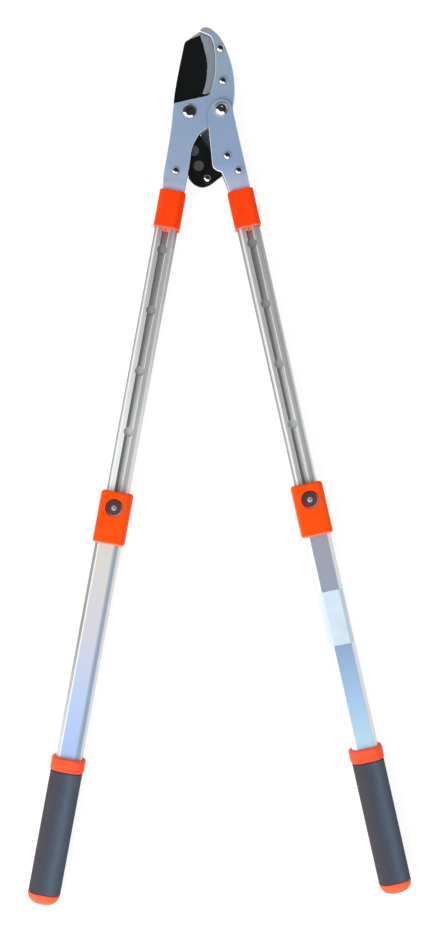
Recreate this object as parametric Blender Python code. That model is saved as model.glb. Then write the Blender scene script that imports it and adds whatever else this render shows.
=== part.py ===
"""Telescopic anvil lopper with two extending handles.

Metres, +Z up. The lopper lies on its back with its front face up, its head towards +Y and its
jaws closed. The origin is on the main pivot, on the surface that the lopper lies on.
"""

import math

import bmesh
import bpy

# Clearances
GAP = 0.0003
SLIDE_GAP = 0.0005

# Plates and blade, stacked from the middle plane outwards
BLADE_THICK = 0.0040
PLATE_THICK = 0.0030
INNER_LOW = BLADE_THICK / 2 + GAP
INNER_TOP = INNER_LOW + PLATE_THICK
OUTER_LOW = INNER_TOP + GAP
OUTER_TOP = OUTER_LOW + PLATE_THICK
JOGGLE = PLATE_THICK + GAP

# Pivots and screws, seen from the front, measured from the main pivot
BLADE_PIVOT = (-0.0355, -0.0015)
LINK_PIVOT = (0.0067, -0.0521)
TAIL_PIVOT = (-0.0158, -0.0767)
HOOK_SCREW_UPPER = (-0.0011, 0.0688)
HOOK_SCREW_LOWER = (0.0017, 0.0327)
LEFT_ARM_SCREW = (-0.0511, -0.0683)
RIGHT_ARM_SCREW = (0.0195, -0.0688)

# The open pivot: how far the link's screw drifts in the tail over the full travel
TAIL_DRIFT = 0.0013
TAIL_DRIFT_CENTRE = (0.00074, -0.00092)

# Pivot bolts
PIVOT_SHANK_R = 0.0040
BLADE_BOLT_HEAD_R = 0.0075
BLADE_BOLT_HEAD_H = 0.0040
MAIN_BOLT_HEAD_R = 0.0069
MAIN_BOLT_HEAD_H = 0.0042
MAIN_BOLT_FLANGE_R = 0.0079
MAIN_BOLT_FLANGE_H = 0.0008
MAIN_BOLT_DIMPLE_R = 0.0016
MAIN_BOLT_DIMPLE_DEPTH = 0.0008
WASHER_R = 0.0080
WASHER_H = 0.0013
PIVOT_NUT_HALF_FLATS = 0.0065
PIVOT_NUT_H = 0.0045
BOLT_END_PROUD = 0.0006
PIVOT_SPACER_R = 0.0070
BUSH_R = 0.0055

# Small screws and their nuts
SCREW_SHANK_R = 0.0025
SCREW_HEAD_R = 0.0043
SCREW_HEAD_H = 0.0027
SCREW_RIM_H = 0.0006
SOCKET_HALF_FLATS = 0.0016
SOCKET_DEPTH = 0.0015
SMALL_NUT_HALF_FLATS = 0.0040
SMALL_NUT_H = 0.0032

# Glide pads in the blade's tail, measured from the blade pivot
PAD_R = 0.0057
PAD_UPPER = (0.0047, -0.0436)
PAD_LOWER = (0.0102, -0.0606)

# Blade, measured from the blade pivot. The coat ends where the ground bevel starts.
CUTTING_EDGE_THICK = 0.0005
BLADE_SPINE = [
    (-0.0158, -0.0035), (-0.0179, 0.0120), (-0.0133, 0.0412), (-0.0081, 0.0665), (-0.0066, 0.0740),
    (-0.0054, 0.0776), (-0.0034, 0.0799),
]
TIP_COAT_END = [(-0.0008, 0.0811), (0.0050, 0.0834), (0.0115, 0.0857), (0.0123, 0.0843), (0.0129, 0.0826)]
TIP_GROUND_EDGE = [(-0.0006, 0.0820), (0.0028, 0.0853), (0.0106, 0.0902), (0.0183, 0.0878), (0.0236, 0.0842)]
BEVEL_COAT_END = [
    (0.0138, 0.0800), (0.0168, 0.0696), (0.0193, 0.0590), (0.0197, 0.0480), (0.0186, 0.0370),
    (0.0165, 0.0272), (0.0147, 0.0203), (0.0190, 0.0200),
]
CUTTING_EDGE = [
    (0.0252, 0.0800), (0.0275, 0.0696), (0.0288, 0.0590), (0.0289, 0.0480), (0.0278, 0.0370),
    (0.0261, 0.0290), (0.0249, 0.0243), (0.0234, 0.0214),
]
BLADE_HEEL = [(0.0218, 0.0158), (0.0185, 0.0095), (0.0160, 0.0020), (0.0146, -0.0060), (0.0122, -0.0180)]
TAIL_INNER = [(0.0114, -0.0264), (0.0231, -0.0442), (0.0296, -0.0555), (0.0322, -0.0655), (0.0364, -0.0719)]
TAIL_END = [(0.0301, -0.0763), (0.0228, -0.0819), (0.0139, -0.0846), (0.0049, -0.0812), (-0.0011, -0.0742)]
TAIL_OUTER = [(-0.0023, -0.0660), (-0.0025, -0.0565), (-0.0045, -0.0435), (-0.0095, -0.0235)]

# Hook and left arm plate, measured from the main pivot
HOOK_EYE_R = 0.0131
HOOK_NOSE = [(-0.0245, 0.0880), (-0.0232, 0.0904), (-0.0187, 0.0927), (-0.0130, 0.0917), (-0.0072, 0.0874)]
HOOK_BACK = [
    (-0.0012, 0.0812), (0.0056, 0.0685), (0.0116, 0.0507), (0.0143, 0.0360), (0.0151, 0.0240),
    (0.0149, 0.0150),
]
CROTCH_EDGE = [
    (-0.0142, -0.0187), (-0.0243, -0.0268), (-0.0312, -0.0388), (-0.0340, -0.0482), (-0.0360, -0.0640),
]
LEFT_ARM_OUTER = [
    (-0.0653, -0.0800), (-0.0648, -0.0707), (-0.0610, -0.0493), (-0.0564, -0.0207), (-0.0543, 0.0010),
]
BLADE_SEAT_CORNER = [(-0.0536, 0.0050), (-0.0517, 0.0073), (-0.0488, 0.0081)]
BLADE_SEAT = [(-0.0370, 0.0110), (-0.0215, 0.0143)]
SEAT_ROUND = [(-0.0165, 0.0154), (-0.0134, 0.0170), (-0.0119, 0.0195)]
HOOK_JAW = [
    (-0.0102, 0.0245), (-0.0076, 0.0370), (-0.0064, 0.0480), (-0.0066, 0.0590), (-0.0085, 0.0725),
]
HOOK_JAW_END = [(-0.0107, 0.0798), (-0.0130, 0.0829), (-0.0183, 0.0855)]

# Anvil strip, held between the hook plates
ANVIL_TOP = [(-0.0150, 0.0878), (-0.0112, 0.0868)]
ANVIL_BACK = [(-0.0040, 0.0800), (0.0036, 0.0680), (0.0093, 0.0503), (0.0119, 0.0346), (0.0121, 0.0222)]
ANVIL_FOOT = [(0.0095, 0.0175), (0.0060, 0.0160)]
JAW_GAP = 0.00035

# Right arm plate, measured from the main pivot
ARM_EYE_R = 0.0132
ARM_EYE_CENTRE = (0.0, -0.0018)
ARM_EYE_SIDE = [(-0.0148, -0.0030), (-0.0152, -0.0100)]
ARM_INNER_FRONT = [(-0.0142, -0.0198), (-0.0101, -0.0625)]
ARM_INNER_BACK = [
    (-0.0180, -0.0190), (-0.0243, -0.0285), (-0.0225, -0.0390), (-0.0150, -0.0540), (-0.0101, -0.0625),
]
ARM_SHOULDER = [(-0.0086, -0.0662), (-0.0049, -0.0688), (-0.0002, -0.0705), (0.0016, -0.0735)]
ARM_OUTER = [(0.0286, -0.0689), (0.0232, -0.0457), (0.0166, -0.0171), (0.0140, -0.0070)]

# Link plates
LINK_END_R = 0.0065

# Handles: where the sleeve starts and how far the handle leans from the head's own axis
LEFT_HANDLE_TOP = (-0.0541, -0.0913)
LEFT_HANDLE_LEAN = -10.43
RIGHT_HANDLE_TOP = (0.0210, -0.0904)
RIGHT_HANDLE_LEAN = 12.66

# How much deeper than INNER_TUBE_START each inner tube starts in its sleeve, with all that slides on it
LEFT_TUBE_SHIFT = 0.0016
RIGHT_TUBE_SHIFT = -0.0042

# Tangs, which join the arm plates to the inner tubes
ARM_END_HALF_W = 0.0119
ARM_END = 0.0130
JOGGLE_START = -0.0180
JOGGLE_END = -0.0050
TANG_HALF_W = 0.0078
LEFT_TANG_START = -0.0310
RIGHT_TANG_START = -0.0262
TANG_IN_TUBE = 0.0400

# Tubes: an eight-sided section with a wide front, kept the same for all that slides or seats on it
TUBE_HALF_W = 0.0146
TUBE_HALF_T = 0.0109
TUBE_FRONT_HALF = 0.0096
TUBE_SIDE_HALF = 0.0046
TUBE_WALL = 0.0014
INNER_TUBE_START = 0.0200
INNER_TUBE_END = 0.4350
GROOVE_HALF_W = 0.0038
GROOVE_DEPTH = 0.0040
WEB_HALF_W = 0.0068
WEB_THICK = 0.0040
POCKET_R = 0.0055
POCKET_FLOOR = 0.0015
FIRST_POCKET = 0.0655
POCKET_PITCH = 0.0690
POCKETS = 4

# Sleeves
SLEEVE_LENGTH = 0.0428
SLEEVE_HALF_W = 0.0144
SLEEVE_HALF_T = 0.0132
SLEEVE_FRONT_HALF = 0.0092
SLEEVE_SIDE_HALF = 0.0078
SLEEVE_EDGE = 0.0008
SLEEVE_ROOM = 0.0002
SLEEVE_ROOM_CHAMFER = 0.0019
KEY_REACH = 0.0036
KEY_ROOT = 0.0080
KEY_HOLE_R = 0.0009

# Lock collars
COLLAR_START = 0.3410
COLLAR_LENGTH = 0.0590
COLLAR_HALF_W = 0.0175
COLLAR_FRONT = 0.0165
COLLAR_BACK = 0.0140
COLLAR_CORNER_R = 0.0060
COLLAR_TOP_EDGE_R = 0.0030
COLLAR_END_EDGE_R = 0.0020
COLLAR_GUIDE = 0.0300
OUTER_TUBE_LENGTH = 0.4250

# Lock button, measured from the collar's top and from the middle plane
BUTTON_DOWN = 0.0180
BUTTON_R = 0.0095
BUTTON_RECESS = 0.0004
BUTTON_RIM_W = 0.0012
BUTTON_DISH = 0.0009
BUTTON_WEB = 0.0010
BUTTON_TRAVEL = 0.0020
STEM_R = 0.0034
STEM_CLEAR = BUTTON_TRAVEL + GAP
RECESS_R = 0.0100
RECESS_FLOOR = 0.0017
BUTTON_SCREW_HEAD_R = 0.0030
BUTTON_SCREW_HEAD_H = 0.0009
BUTTON_SCREW_SHANK_R = 0.0012
BUTTON_SCREW_LENGTH = 0.0055
BUTTON_SOCKET_HALF_FLATS = 0.0011
BUTTON_SOCKET_DEPTH = 0.0006

# Button spring, a conical coil that flattens into itself
SPRING_WIRE = 0.0007
SPRING_BASE_R = 0.0075
SPRING_TOP_R = 0.0048
SPRING_TURNS = 2.5
SPRING_POINTS = 10

# Grips
RING_LENGTH = 0.0151
RING_HALF_W = 0.0190
RING_HALF_T = 0.0160
RING_EDGE = 0.0016
GRIP_LENGTH = 0.1380
GRIP_OVERHANG = 0.0013
GRIP_HALF_W = 0.0180
GRIP_HALF_T = 0.0154
GRIP_EDGE = 0.0010
CAP_LENGTH = 0.0136
CAP_HALF_W = 0.0182
CAP_HALF_T = 0.0156
CAP_PLUG = 0.0160
OVAL_POWER = 2.7
RING_FLAT = 0.0003

# Guide bush at the inner tube's lower end
BUSH_FLANGE = 0.0030
BUSH_PLUG = 0.0100
SECTION_CHAMFER = 0.0006

# Fineness of curves
PIVOT_SIDES = 24
SCREW_SIDES = 12
POCKET_SIDES = 16
BUTTON_SIDES = 20
OVAL_SIDES = 24
CURVE_STEPS = 3
CORNER_STEPS = 3
JOGGLE_STEPS = 4
CUT_MARGIN = 0.0020

MIDDLE_Z = RING_HALF_T
POCKET_LIST = [FIRST_POCKET + POCKET_PITCH * i for i in range(POCKETS)]


def make_material(name, colour, roughness, metallic):
    material = bpy.data.materials.new(name)
    material.use_nodes = True
    shader = material.node_tree.nodes["Principled BSDF"]
    shader.inputs["Base Color"].default_value = (*colour, 1.0)
    shader.inputs["Roughness"].default_value = roughness
    shader.inputs["Metallic"].default_value = metallic
    material.diffuse_color = (*colour, 1.0)
    return material


def add_object(name, bm, material, place=(0.0, 0.0), parent=None, smooth_angle=30.0):
    """Turn a bmesh into a named object whose origin lies at place, on the middle plane."""
    bmesh.ops.remove_doubles(bm, verts=bm.verts, dist=0.000001)
    bmesh.ops.recalc_face_normals(bm, faces=bm.faces)
    mesh = bpy.data.meshes.new(name)
    bm.to_mesh(mesh)
    bm.free()
    mesh.materials.append(material)
    mesh.shade_smooth()
    mesh.set_sharp_from_angle(angle=math.radians(smooth_angle))
    thing = bpy.data.objects.new(name, mesh)
    bpy.context.scene.collection.objects.link(thing)
    thing.parent = parent
    height = 0.0 if parent else MIDDLE_Z
    thing.location = (place[0], place[1], height)
    return thing


def add_frame(name, place, turn_degrees):
    frame = bpy.data.objects.new(name, None)
    bpy.context.scene.collection.objects.link(frame)
    frame.location = (place[0], place[1], MIDDLE_Z)
    frame.rotation_euler = (0.0, 0.0, math.radians(turn_degrees))
    return frame


def add_cutter(name, bm, place=(0.0, 0.0), parent=None):
    cutter = add_object(name, bm, MATERIALS["cutter"], place, parent)
    cutter.hide_render = True
    cutter.display_type = "WIRE"
    return cutter


def apply_boolean(thing, cutter, operation):
    modifier = thing.modifiers.new(cutter.name, "BOOLEAN")
    modifier.object = cutter
    modifier.operation = operation
    modifier.solver = "EXACT"


def curve_through(points, steps=CURVE_STEPS):
    """Points along a smooth curve that passes through all the given points."""
    ends = [points[0], *points, points[-1]]
    out = []
    for i in range(1, len(ends) - 2):
        p0, p1, p2, p3 = ends[i - 1], ends[i], ends[i + 1], ends[i + 2]
        for s in range(steps):
            u = s / steps
            out.append(tuple(
                b + 0.5 * u * (c - a + u * (2 * a - 5 * b + 4 * c - d + u * (3 * b - a - 3 * c + d)))
                for a, b, c, d in zip(p0, p1, p2, p3)
            ))
    out.append(points[-1])
    return out


def arc(centre, radius, start, end, steps):
    angles = [math.radians(start + (end - start) * i / steps) for i in range(steps + 1)]
    return [(centre[0] + radius * math.cos(a), centre[1] + radius * math.sin(a)) for a in angles]


def circle(centre, radius, sides):
    return arc(centre, radius, 0.0, 360.0 * (sides - 1) / sides, sides - 1)


def moved(points, offset):
    return [(x + offset[0], y + offset[1]) for x, y in points]


def from_place(point, place):
    return (point[0] - place[0], point[1] - place[1])


def add_skin(bm, loops):
    """Join closed loops of points, one after another, by a band of faces."""
    rows = [[bm.verts.new(point) for point in loop] for loop in loops]
    for low, high in zip(rows, rows[1:]):
        for i in range(len(low)):
            j = (i + 1) % len(low)
            bm.faces.new((low[i], low[j], high[j], high[i]))
    return rows


def add_cap(bm, rows, normal):
    """Fill the flat area between closed rows of vertices, the first of them the outer one."""
    edges = []
    for row in rows:
        for i in range(len(row)):
            edge = bm.edges.get((row[i], row[(i + 1) % len(row)]))
            edges.append(edge)
    bmesh.ops.triangle_fill(bm, use_beauty=True, use_dissolve=False, edges=edges, normal=normal)


def plate_mesh(outline, holes, low, high):
    """A flat plate between two heights, with its holes."""
    bm = bmesh.new()
    bottoms, tops = [], []
    for loop in [outline, *holes]:
        rows = add_skin(bm, [[(x, y, low) for x, y in loop], [(x, y, high) for x, y in loop]])
        bottoms.append(rows[0])
        tops.append(rows[1])
    add_cap(bm, bottoms, (0, 0, -1))
    add_cap(bm, tops, (0, 0, 1))
    return bm


def ring_points(radius, height, shape, sides):
    """One turned ring, round, or with six flats at the given half width across them."""
    points = []
    for i in range(sides):
        angle = 2 * math.pi * i / sides
        reach = radius
        if shape == "hex":
            off_flat = (angle % (math.pi / 3)) - math.pi / 6
            reach = radius / math.cos(off_flat)
        points.append((reach * math.cos(angle), reach * math.sin(angle), height))
    return points


def turned_mesh(rings, sides, hollow=False):
    """Turn a profile of (radius, height) or (half flats, height, "hex") about the Z axis."""
    bm = bmesh.new()
    loops = [ring_points(ring[0], ring[1], ring[2] if len(ring) > 2 else "round", sides) for ring in rings]
    rows = add_skin(bm, loops)
    if hollow:
        first, last = rows[0], rows[-1]
        for i in range(sides):
            j = (i + 1) % sides
            bm.faces.new((last[i], last[j], first[j], first[i]))
    else:
        bm.faces.new(rows[0])
        bm.faces.new(rows[-1])
    return bm


def section_points(half_w, front, back, side_low, side_high, front_half):
    """Eight-sided section, from the right side round through the front."""
    return [
        (half_w, side_low), (half_w, side_high), (front_half, front), (-front_half, front),
        (-half_w, side_high), (-half_w, side_low), (-front_half, -back), (front_half, -back),
    ]


def tube_section(inset):
    """The tube's outer section drawn in by a wall or a clearance, each face by the same amount."""
    run = TUBE_HALF_W - TUBE_FRONT_HALF
    rise = TUBE_HALF_T - TUBE_SIDE_HALF
    length = math.hypot(run, rise)
    nx, nz = rise / length, run / length
    reach = nx * TUBE_FRONT_HALF + nz * TUBE_HALF_T - inset
    half_w = TUBE_HALF_W - inset
    half_t = TUBE_HALF_T - inset
    front_half = (reach - nz * half_t) / nx
    side_half = (reach - nx * half_w) / nz
    return section_points(half_w, half_t, half_t, -side_half, side_half, front_half)


def box_section(half_w, low, high, chamfer=SECTION_CHAMFER):
    return [
        (half_w, low + chamfer), (half_w, high - chamfer), (half_w - chamfer, high), (chamfer - half_w, high),
        (-half_w, high - chamfer), (-half_w, low + chamfer), (chamfer - half_w, low), (half_w - chamfer, low),
    ]


def oval_section(half_w, half_t, inset=0.0):
    """A squarish oval, flat at the very front and back."""
    points = []
    for i in range(OVAL_SIDES):
        angle = 2 * math.pi * (i + 0.5) / OVAL_SIDES
        c, s = math.cos(angle), math.sin(angle)
        x = math.copysign(abs(c) ** (2 / OVAL_POWER), c) * (half_w - inset)
        z = math.copysign(abs(s) ** (2 / OVAL_POWER), s) * (half_t + RING_FLAT - inset)
        z = max(min(z, half_t - inset), inset - half_t)
        points.append((x, z))
    return points


def rounded_section(half_w, front, back, radius):
    """A rectangle with round corners, counter-clockwise from its right side."""
    corners = [
        ((half_w - radius, front - radius), 0.0), ((radius - half_w, front - radius), 90.0),
        ((radius - half_w, radius - back), 180.0), ((half_w - radius, radius - back), 270.0),
    ]
    points = []
    for centre, start in corners:
        points += arc(centre, radius, start, start + 90.0, CORNER_STEPS)
    return points


def at_depth(section, depth):
    """Place a section square to the handle, the given distance below the sleeve's top."""
    return [(x, -depth, z) for x, z in section]


def tube_mesh(outer, inner):
    """A body along the handle: outer and inner are lists of (depth, section), top to bottom."""
    bm = bmesh.new()
    outer_rows = add_skin(bm, [at_depth(section, depth) for depth, section in outer])
    inner_rows = add_skin(bm, [at_depth(section, depth) for depth, section in inner])
    add_cap(bm, [outer_rows[0], inner_rows[0]], (0, 1, 0))
    add_cap(bm, [outer_rows[-1], inner_rows[-1]], (0, -1, 0))
    return bm


def rod_mesh(stations):
    """A solid body along the handle from a list of (depth, section), top to bottom."""
    bm = bmesh.new()
    rows = add_skin(bm, [at_depth(section, depth) for depth, section in stations])
    add_cap(bm, [rows[0]], (0, 1, 0))
    add_cap(bm, [rows[-1]], (0, -1, 0))
    return bm


def handle_axes(lean):
    """Directions down the handle and to its right, in the head's plane."""
    angle = math.radians(lean)
    return (math.sin(angle), -math.cos(angle)), (math.cos(angle), math.sin(angle))


def on_handle(top, lean, depth, side):
    down, right = handle_axes(lean)
    return (top[0] + down[0] * depth + right[0] * side, top[1] + down[1] * depth + right[1] * side)


def depth_of(point, top, lean):
    down, _ = handle_axes(lean)
    return (point[0] - top[0]) * down[0] + (point[1] - top[1]) * down[1]


def joggle_at(depth):
    """How far the left plates have bent outwards at this depth."""
    u = (depth - JOGGLE_START) / (JOGGLE_END - JOGGLE_START)
    u = max(0.0, min(1.0, u))
    return JOGGLE * u * u * (3 - 2 * u)


def cut_across(bm, top, lean, depths):
    """Give a plate's mesh an edge across it at each depth, so that it can bend there."""
    down, _ = handle_axes(lean)
    for depth in depths:
        co = on_handle(top, lean, depth, 0.0)
        geometry = bm.verts[:] + bm.edges[:] + bm.faces[:]
        bmesh.ops.bisect_plane(bm, geom=geometry, plane_co=(*co, 0.0), plane_no=(*down, 0.0), dist=0.000001)


def joggle_depths():
    return [JOGGLE_START + (JOGGLE_END - JOGGLE_START) * i / JOGGLE_STEPS for i in range(JOGGLE_STEPS + 1)]


def hook_outline():
    left_end = on_handle(LEFT_HANDLE_TOP, LEFT_HANDLE_LEAN, ARM_END, -ARM_END_HALF_W)
    right_end = on_handle(LEFT_HANDLE_TOP, LEFT_HANDLE_LEAN, ARM_END, ARM_END_HALF_W)
    left_top = on_handle(LEFT_HANDLE_TOP, LEFT_HANDLE_LEAN, 0.0, -ARM_END_HALF_W)
    right_top = on_handle(LEFT_HANDLE_TOP, LEFT_HANDLE_LEAN, 0.0, ARM_END_HALF_W)
    outline = curve_through(HOOK_NOSE + HOOK_BACK)
    outline += arc((0.0, 0.0), HOOK_EYE_R, 12.0, -125.0, 5 * CURVE_STEPS)
    outline += curve_through([*CROTCH_EDGE, right_top])
    outline += [right_end, left_end]
    outline += curve_through([left_top, *LEFT_ARM_OUTER], 2)
    outline += curve_through(BLADE_SEAT_CORNER, 3)
    outline += BLADE_SEAT
    outline += curve_through(SEAT_ROUND, 3)
    outline += curve_through(HOOK_JAW + HOOK_JAW_END)
    return outline


def bolt_hole(place, radius, sides=SCREW_SIDES):
    return circle(place, radius + GAP, sides)


def make_hook_plates():
    for name, sign in (("hook_plate_front", 1), ("hook_plate_back", -1)):
        holes = [
            bolt_hole((0.0, 0.0), PIVOT_SHANK_R, PIVOT_SIDES),
            bolt_hole(BLADE_PIVOT, PIVOT_SHANK_R, PIVOT_SIDES),
            bolt_hole(HOOK_SCREW_UPPER, SCREW_SHANK_R),
            bolt_hole(HOOK_SCREW_LOWER, SCREW_SHANK_R),
            bolt_hole(LEFT_ARM_SCREW, SCREW_SHANK_R),
        ]
        bm = plate_mesh(hook_outline(), holes, INNER_LOW, INNER_TOP)
        cut_across(bm, LEFT_HANDLE_TOP, LEFT_HANDLE_LEAN, joggle_depths())
        for vert in bm.verts:
            depth = depth_of(vert.co, LEFT_HANDLE_TOP, LEFT_HANDLE_LEAN)
            vert.co.z = sign * (vert.co.z + joggle_at(depth))
        add_object(name, bm, MATERIALS["plate_paint"])


def anvil_outline():
    """The anvil's face follows the cutting edge and the tip, the jaw gap away from them."""
    face = moved(curve_through(CUTTING_EDGE), (BLADE_PIVOT[0] + JAW_GAP, BLADE_PIVOT[1]))
    tip = moved(TIP_GROUND_EDGE[-2:], (BLADE_PIVOT[0] + JAW_GAP, BLADE_PIVOT[1] + JAW_GAP))
    heel = (face[-1][0], ANVIL_FOOT[-1][1])
    outline = curve_through([*ANVIL_TOP, *ANVIL_BACK, ANVIL_FOOT[0]])
    outline += [ANVIL_FOOT[1], heel]
    outline += reversed(face)
    outline += reversed(tip)
    return outline


def make_anvil():
    holes = [bolt_hole(HOOK_SCREW_UPPER, SCREW_SHANK_R), bolt_hole(HOOK_SCREW_LOWER, SCREW_SHANK_R)]
    bm = plate_mesh(anvil_outline(), holes, -BLADE_THICK / 2, BLADE_THICK / 2)
    add_object("anvil", bm, MATERIALS["anvil_metal"])


def make_blade():
    """The blade is full thickness inside the coat's end and thins to the cutting edge outside it."""
    coat_end = TIP_COAT_END + curve_through(BEVEL_COAT_END)
    ground_edge = TIP_GROUND_EDGE + curve_through(CUTTING_EDGE)
    body = [*coat_end, ground_edge[-1], *curve_through(BLADE_HEEL), *curve_through(TAIL_INNER)]
    body += curve_through(TAIL_END) + curve_through([*TAIL_OUTER, *BLADE_SPINE])
    tail_hole = (
        TAIL_PIVOT[0] - BLADE_PIVOT[0] + TAIL_DRIFT_CENTRE[0],
        TAIL_PIVOT[1] - BLADE_PIVOT[1] + TAIL_DRIFT_CENTRE[1],
    )
    holes = [
        bolt_hole((0.0, 0.0), PIVOT_SHANK_R, PIVOT_SIDES),
        bolt_hole(tail_hole, SCREW_SHANK_R + TAIL_DRIFT),
        circle(PAD_UPPER, PAD_R + GAP, PIVOT_SIDES),
        circle(PAD_LOWER, PAD_R + GAP, PIVOT_SIDES),
    ]
    bm = bmesh.new()
    half, thin = BLADE_THICK / 2, CUTTING_EDGE_THICK / 2
    faces = {}
    for height in (half, -half):
        faces[height] = [[bm.verts.new((x, y, height)) for x, y in loop] for loop in [body, *holes]]
    edge_high = [bm.verts.new((x, y, thin)) for x, y in ground_edge]
    edge_low = [bm.verts.new((x, y, -thin)) for x, y in ground_edge]
    high, low = faces[half], faces[-half]
    ground = len(coat_end)
    for i in range(ground - 1):
        bm.faces.new((high[0][i], high[0][i + 1], edge_high[i + 1], edge_high[i]))
        bm.faces.new((edge_high[i], edge_high[i + 1], edge_low[i + 1], edge_low[i]))
        bm.faces.new((edge_low[i], edge_low[i + 1], low[0][i + 1], low[0][i]))
    bm.faces.new((high[0][0], edge_high[0], edge_low[0], low[0][0]))
    bm.faces.new((high[0][ground - 1], high[0][ground], edge_high[-1]))
    bm.faces.new((low[0][ground - 1], edge_low[-1], low[0][ground]))
    bm.faces.new((
        high[0][ground], high[0][ground + 1], low[0][ground + 1], low[0][ground], edge_low[-1], edge_high[-1],
    ))
    for i in range(ground + 1, len(body)):
        j = (i + 1) % len(body)
        bm.faces.new((high[0][i], high[0][j], low[0][j], low[0][i]))
    for top_loop, bottom_loop in zip(high[1:], low[1:]):
        for i in range(len(top_loop)):
            j = (i + 1) % len(top_loop)
            bm.faces.new((top_loop[i], top_loop[j], bottom_loop[j], bottom_loop[i]))
    add_cap(bm, high, (0, 0, 1))
    add_cap(bm, low, (0, 0, -1))
    add_object("blade", bm, MATERIALS["blade_coat"], BLADE_PIVOT)


def make_glide_pads():
    for name, place in (("glide_pad_upper", PAD_UPPER), ("glide_pad_lower", PAD_LOWER)):
        bm = turned_mesh([(PAD_R, -BLADE_THICK / 2), (PAD_R, BLADE_THICK / 2)], PIVOT_SIDES)
        add_object(name, bm, MATERIALS["pad_plastic"], moved([place], BLADE_PIVOT)[0])


def arm_outline(inner_side):
    left_end = on_handle(RIGHT_HANDLE_TOP, RIGHT_HANDLE_LEAN, ARM_END, -ARM_END_HALF_W)
    right_end = on_handle(RIGHT_HANDLE_TOP, RIGHT_HANDLE_LEAN, ARM_END, ARM_END_HALF_W)
    left_top = on_handle(RIGHT_HANDLE_TOP, RIGHT_HANDLE_LEAN, 0.0, -ARM_END_HALF_W)
    right_top = on_handle(RIGHT_HANDLE_TOP, RIGHT_HANDLE_LEAN, 0.0, ARM_END_HALF_W)
    outline = arc(ARM_EYE_CENTRE, ARM_EYE_R, 5.0, 160.0, 5 * CURVE_STEPS)
    outline += ARM_EYE_SIDE
    outline += inner_side
    outline += curve_through([*ARM_SHOULDER, left_top])
    outline += [left_end, right_end, right_top]
    outline += ARM_OUTER
    return outline


def make_right_arm_plates():
    """The back plate is wider towards the blade's tail, which it backs."""
    plates = (
        ("right_arm_plate_front", 1, ARM_INNER_FRONT),
        ("right_arm_plate_back", -1, curve_through(ARM_INNER_BACK)),
    )
    for name, sign, inner_side in plates:
        holes = [
            bolt_hole((0.0, 0.0), PIVOT_SHANK_R, PIVOT_SIDES),
            bolt_hole(LINK_PIVOT, SCREW_SHANK_R),
            bolt_hole(RIGHT_ARM_SCREW, SCREW_SHANK_R),
        ]
        low, high = sorted((sign * OUTER_LOW, sign * OUTER_TOP))
        add_object(name, plate_mesh(arm_outline(inner_side), holes, low, high), MATERIALS["plate_paint"])


def make_links():
    reach = from_place(TAIL_PIVOT, LINK_PIVOT)
    heading = math.degrees(math.atan2(reach[1], reach[0]))
    outline = arc((0.0, 0.0), LINK_END_R, heading + 90, heading + 270, 3 * CURVE_STEPS)
    outline += arc(reach, LINK_END_R, heading - 90, heading + 90, 3 * CURVE_STEPS)
    holes = [bolt_hole((0.0, 0.0), SCREW_SHANK_R), bolt_hole(reach, SCREW_SHANK_R)]
    for name, sign in (("link_front", 1), ("link_back", -1)):
        low, high = sorted((sign * INNER_LOW, sign * INNER_TOP))
        add_object(name, plate_mesh(outline, holes, low, high), MATERIALS["link_black"], LINK_PIVOT)


def make_tang(name, top, lean, start, screw, tube_start, joggled):
    """A tang fills the room between the arm plates, then steps down into the tube's hollow."""
    frame = FRAMES[name.split("_")[0]]
    down, right = handle_axes(lean)
    offset = from_place(screw, top)
    hole_at = (offset[0] * right[0] + offset[1] * right[1], -(offset[0] * down[0] + offset[1] * down[1]))
    chamfer = TANG_HALF_W / 3
    outline = [
        (-TANG_HALF_W, -start - chamfer), (-TANG_HALF_W, -TANG_IN_TUBE), (TANG_HALF_W, -TANG_IN_TUBE),
        (TANG_HALF_W, -start - chamfer), (TANG_HALF_W - chamfer, -start), (chamfer - TANG_HALF_W, -start),
    ]
    bm = plate_mesh(outline, [bolt_hole(hole_at, SCREW_SHANK_R)], -BLADE_THICK / 2, BLADE_THICK / 2)
    step_low, step_high = tang_heights()
    plate_end = ARM_END + GAP
    slope_end = tube_start - GAP
    stations = [plate_end, slope_end]
    if joggled:
        stations += joggle_depths()
    for depth in stations:
        geometry = bm.verts[:] + bm.edges[:] + bm.faces[:]
        bmesh.ops.bisect_plane(bm, geom=geometry, plane_co=(0, -depth, 0), plane_no=(0, 1, 0), dist=0.000001)
    for vert in bm.verts:
        depth = -vert.co.y
        spread = joggle_at(depth) if joggled else JOGGLE
        u = max(0.0, min(1.0, (depth - plate_end) / (slope_end - plate_end)))
        if vert.co.z > 0:
            vert.co.z = (BLADE_THICK / 2 + spread) * (1 - u) + step_high * u
        else:
            vert.co.z = -(BLADE_THICK / 2 + spread) * (1 - u) + step_low * u
    add_object(name, bm, MATERIALS["tang_steel"], parent=frame)


def web_floor():
    """Height of the underside of the web below the groove."""
    return TUBE_HALF_T - TUBE_WALL - SLIDE_GAP - GROOVE_DEPTH - WEB_THICK


def tang_heights():
    inner_half_t = TUBE_HALF_T - 2 * TUBE_WALL - SLIDE_GAP
    return -(inner_half_t - GAP), web_floor() - GAP


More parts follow.
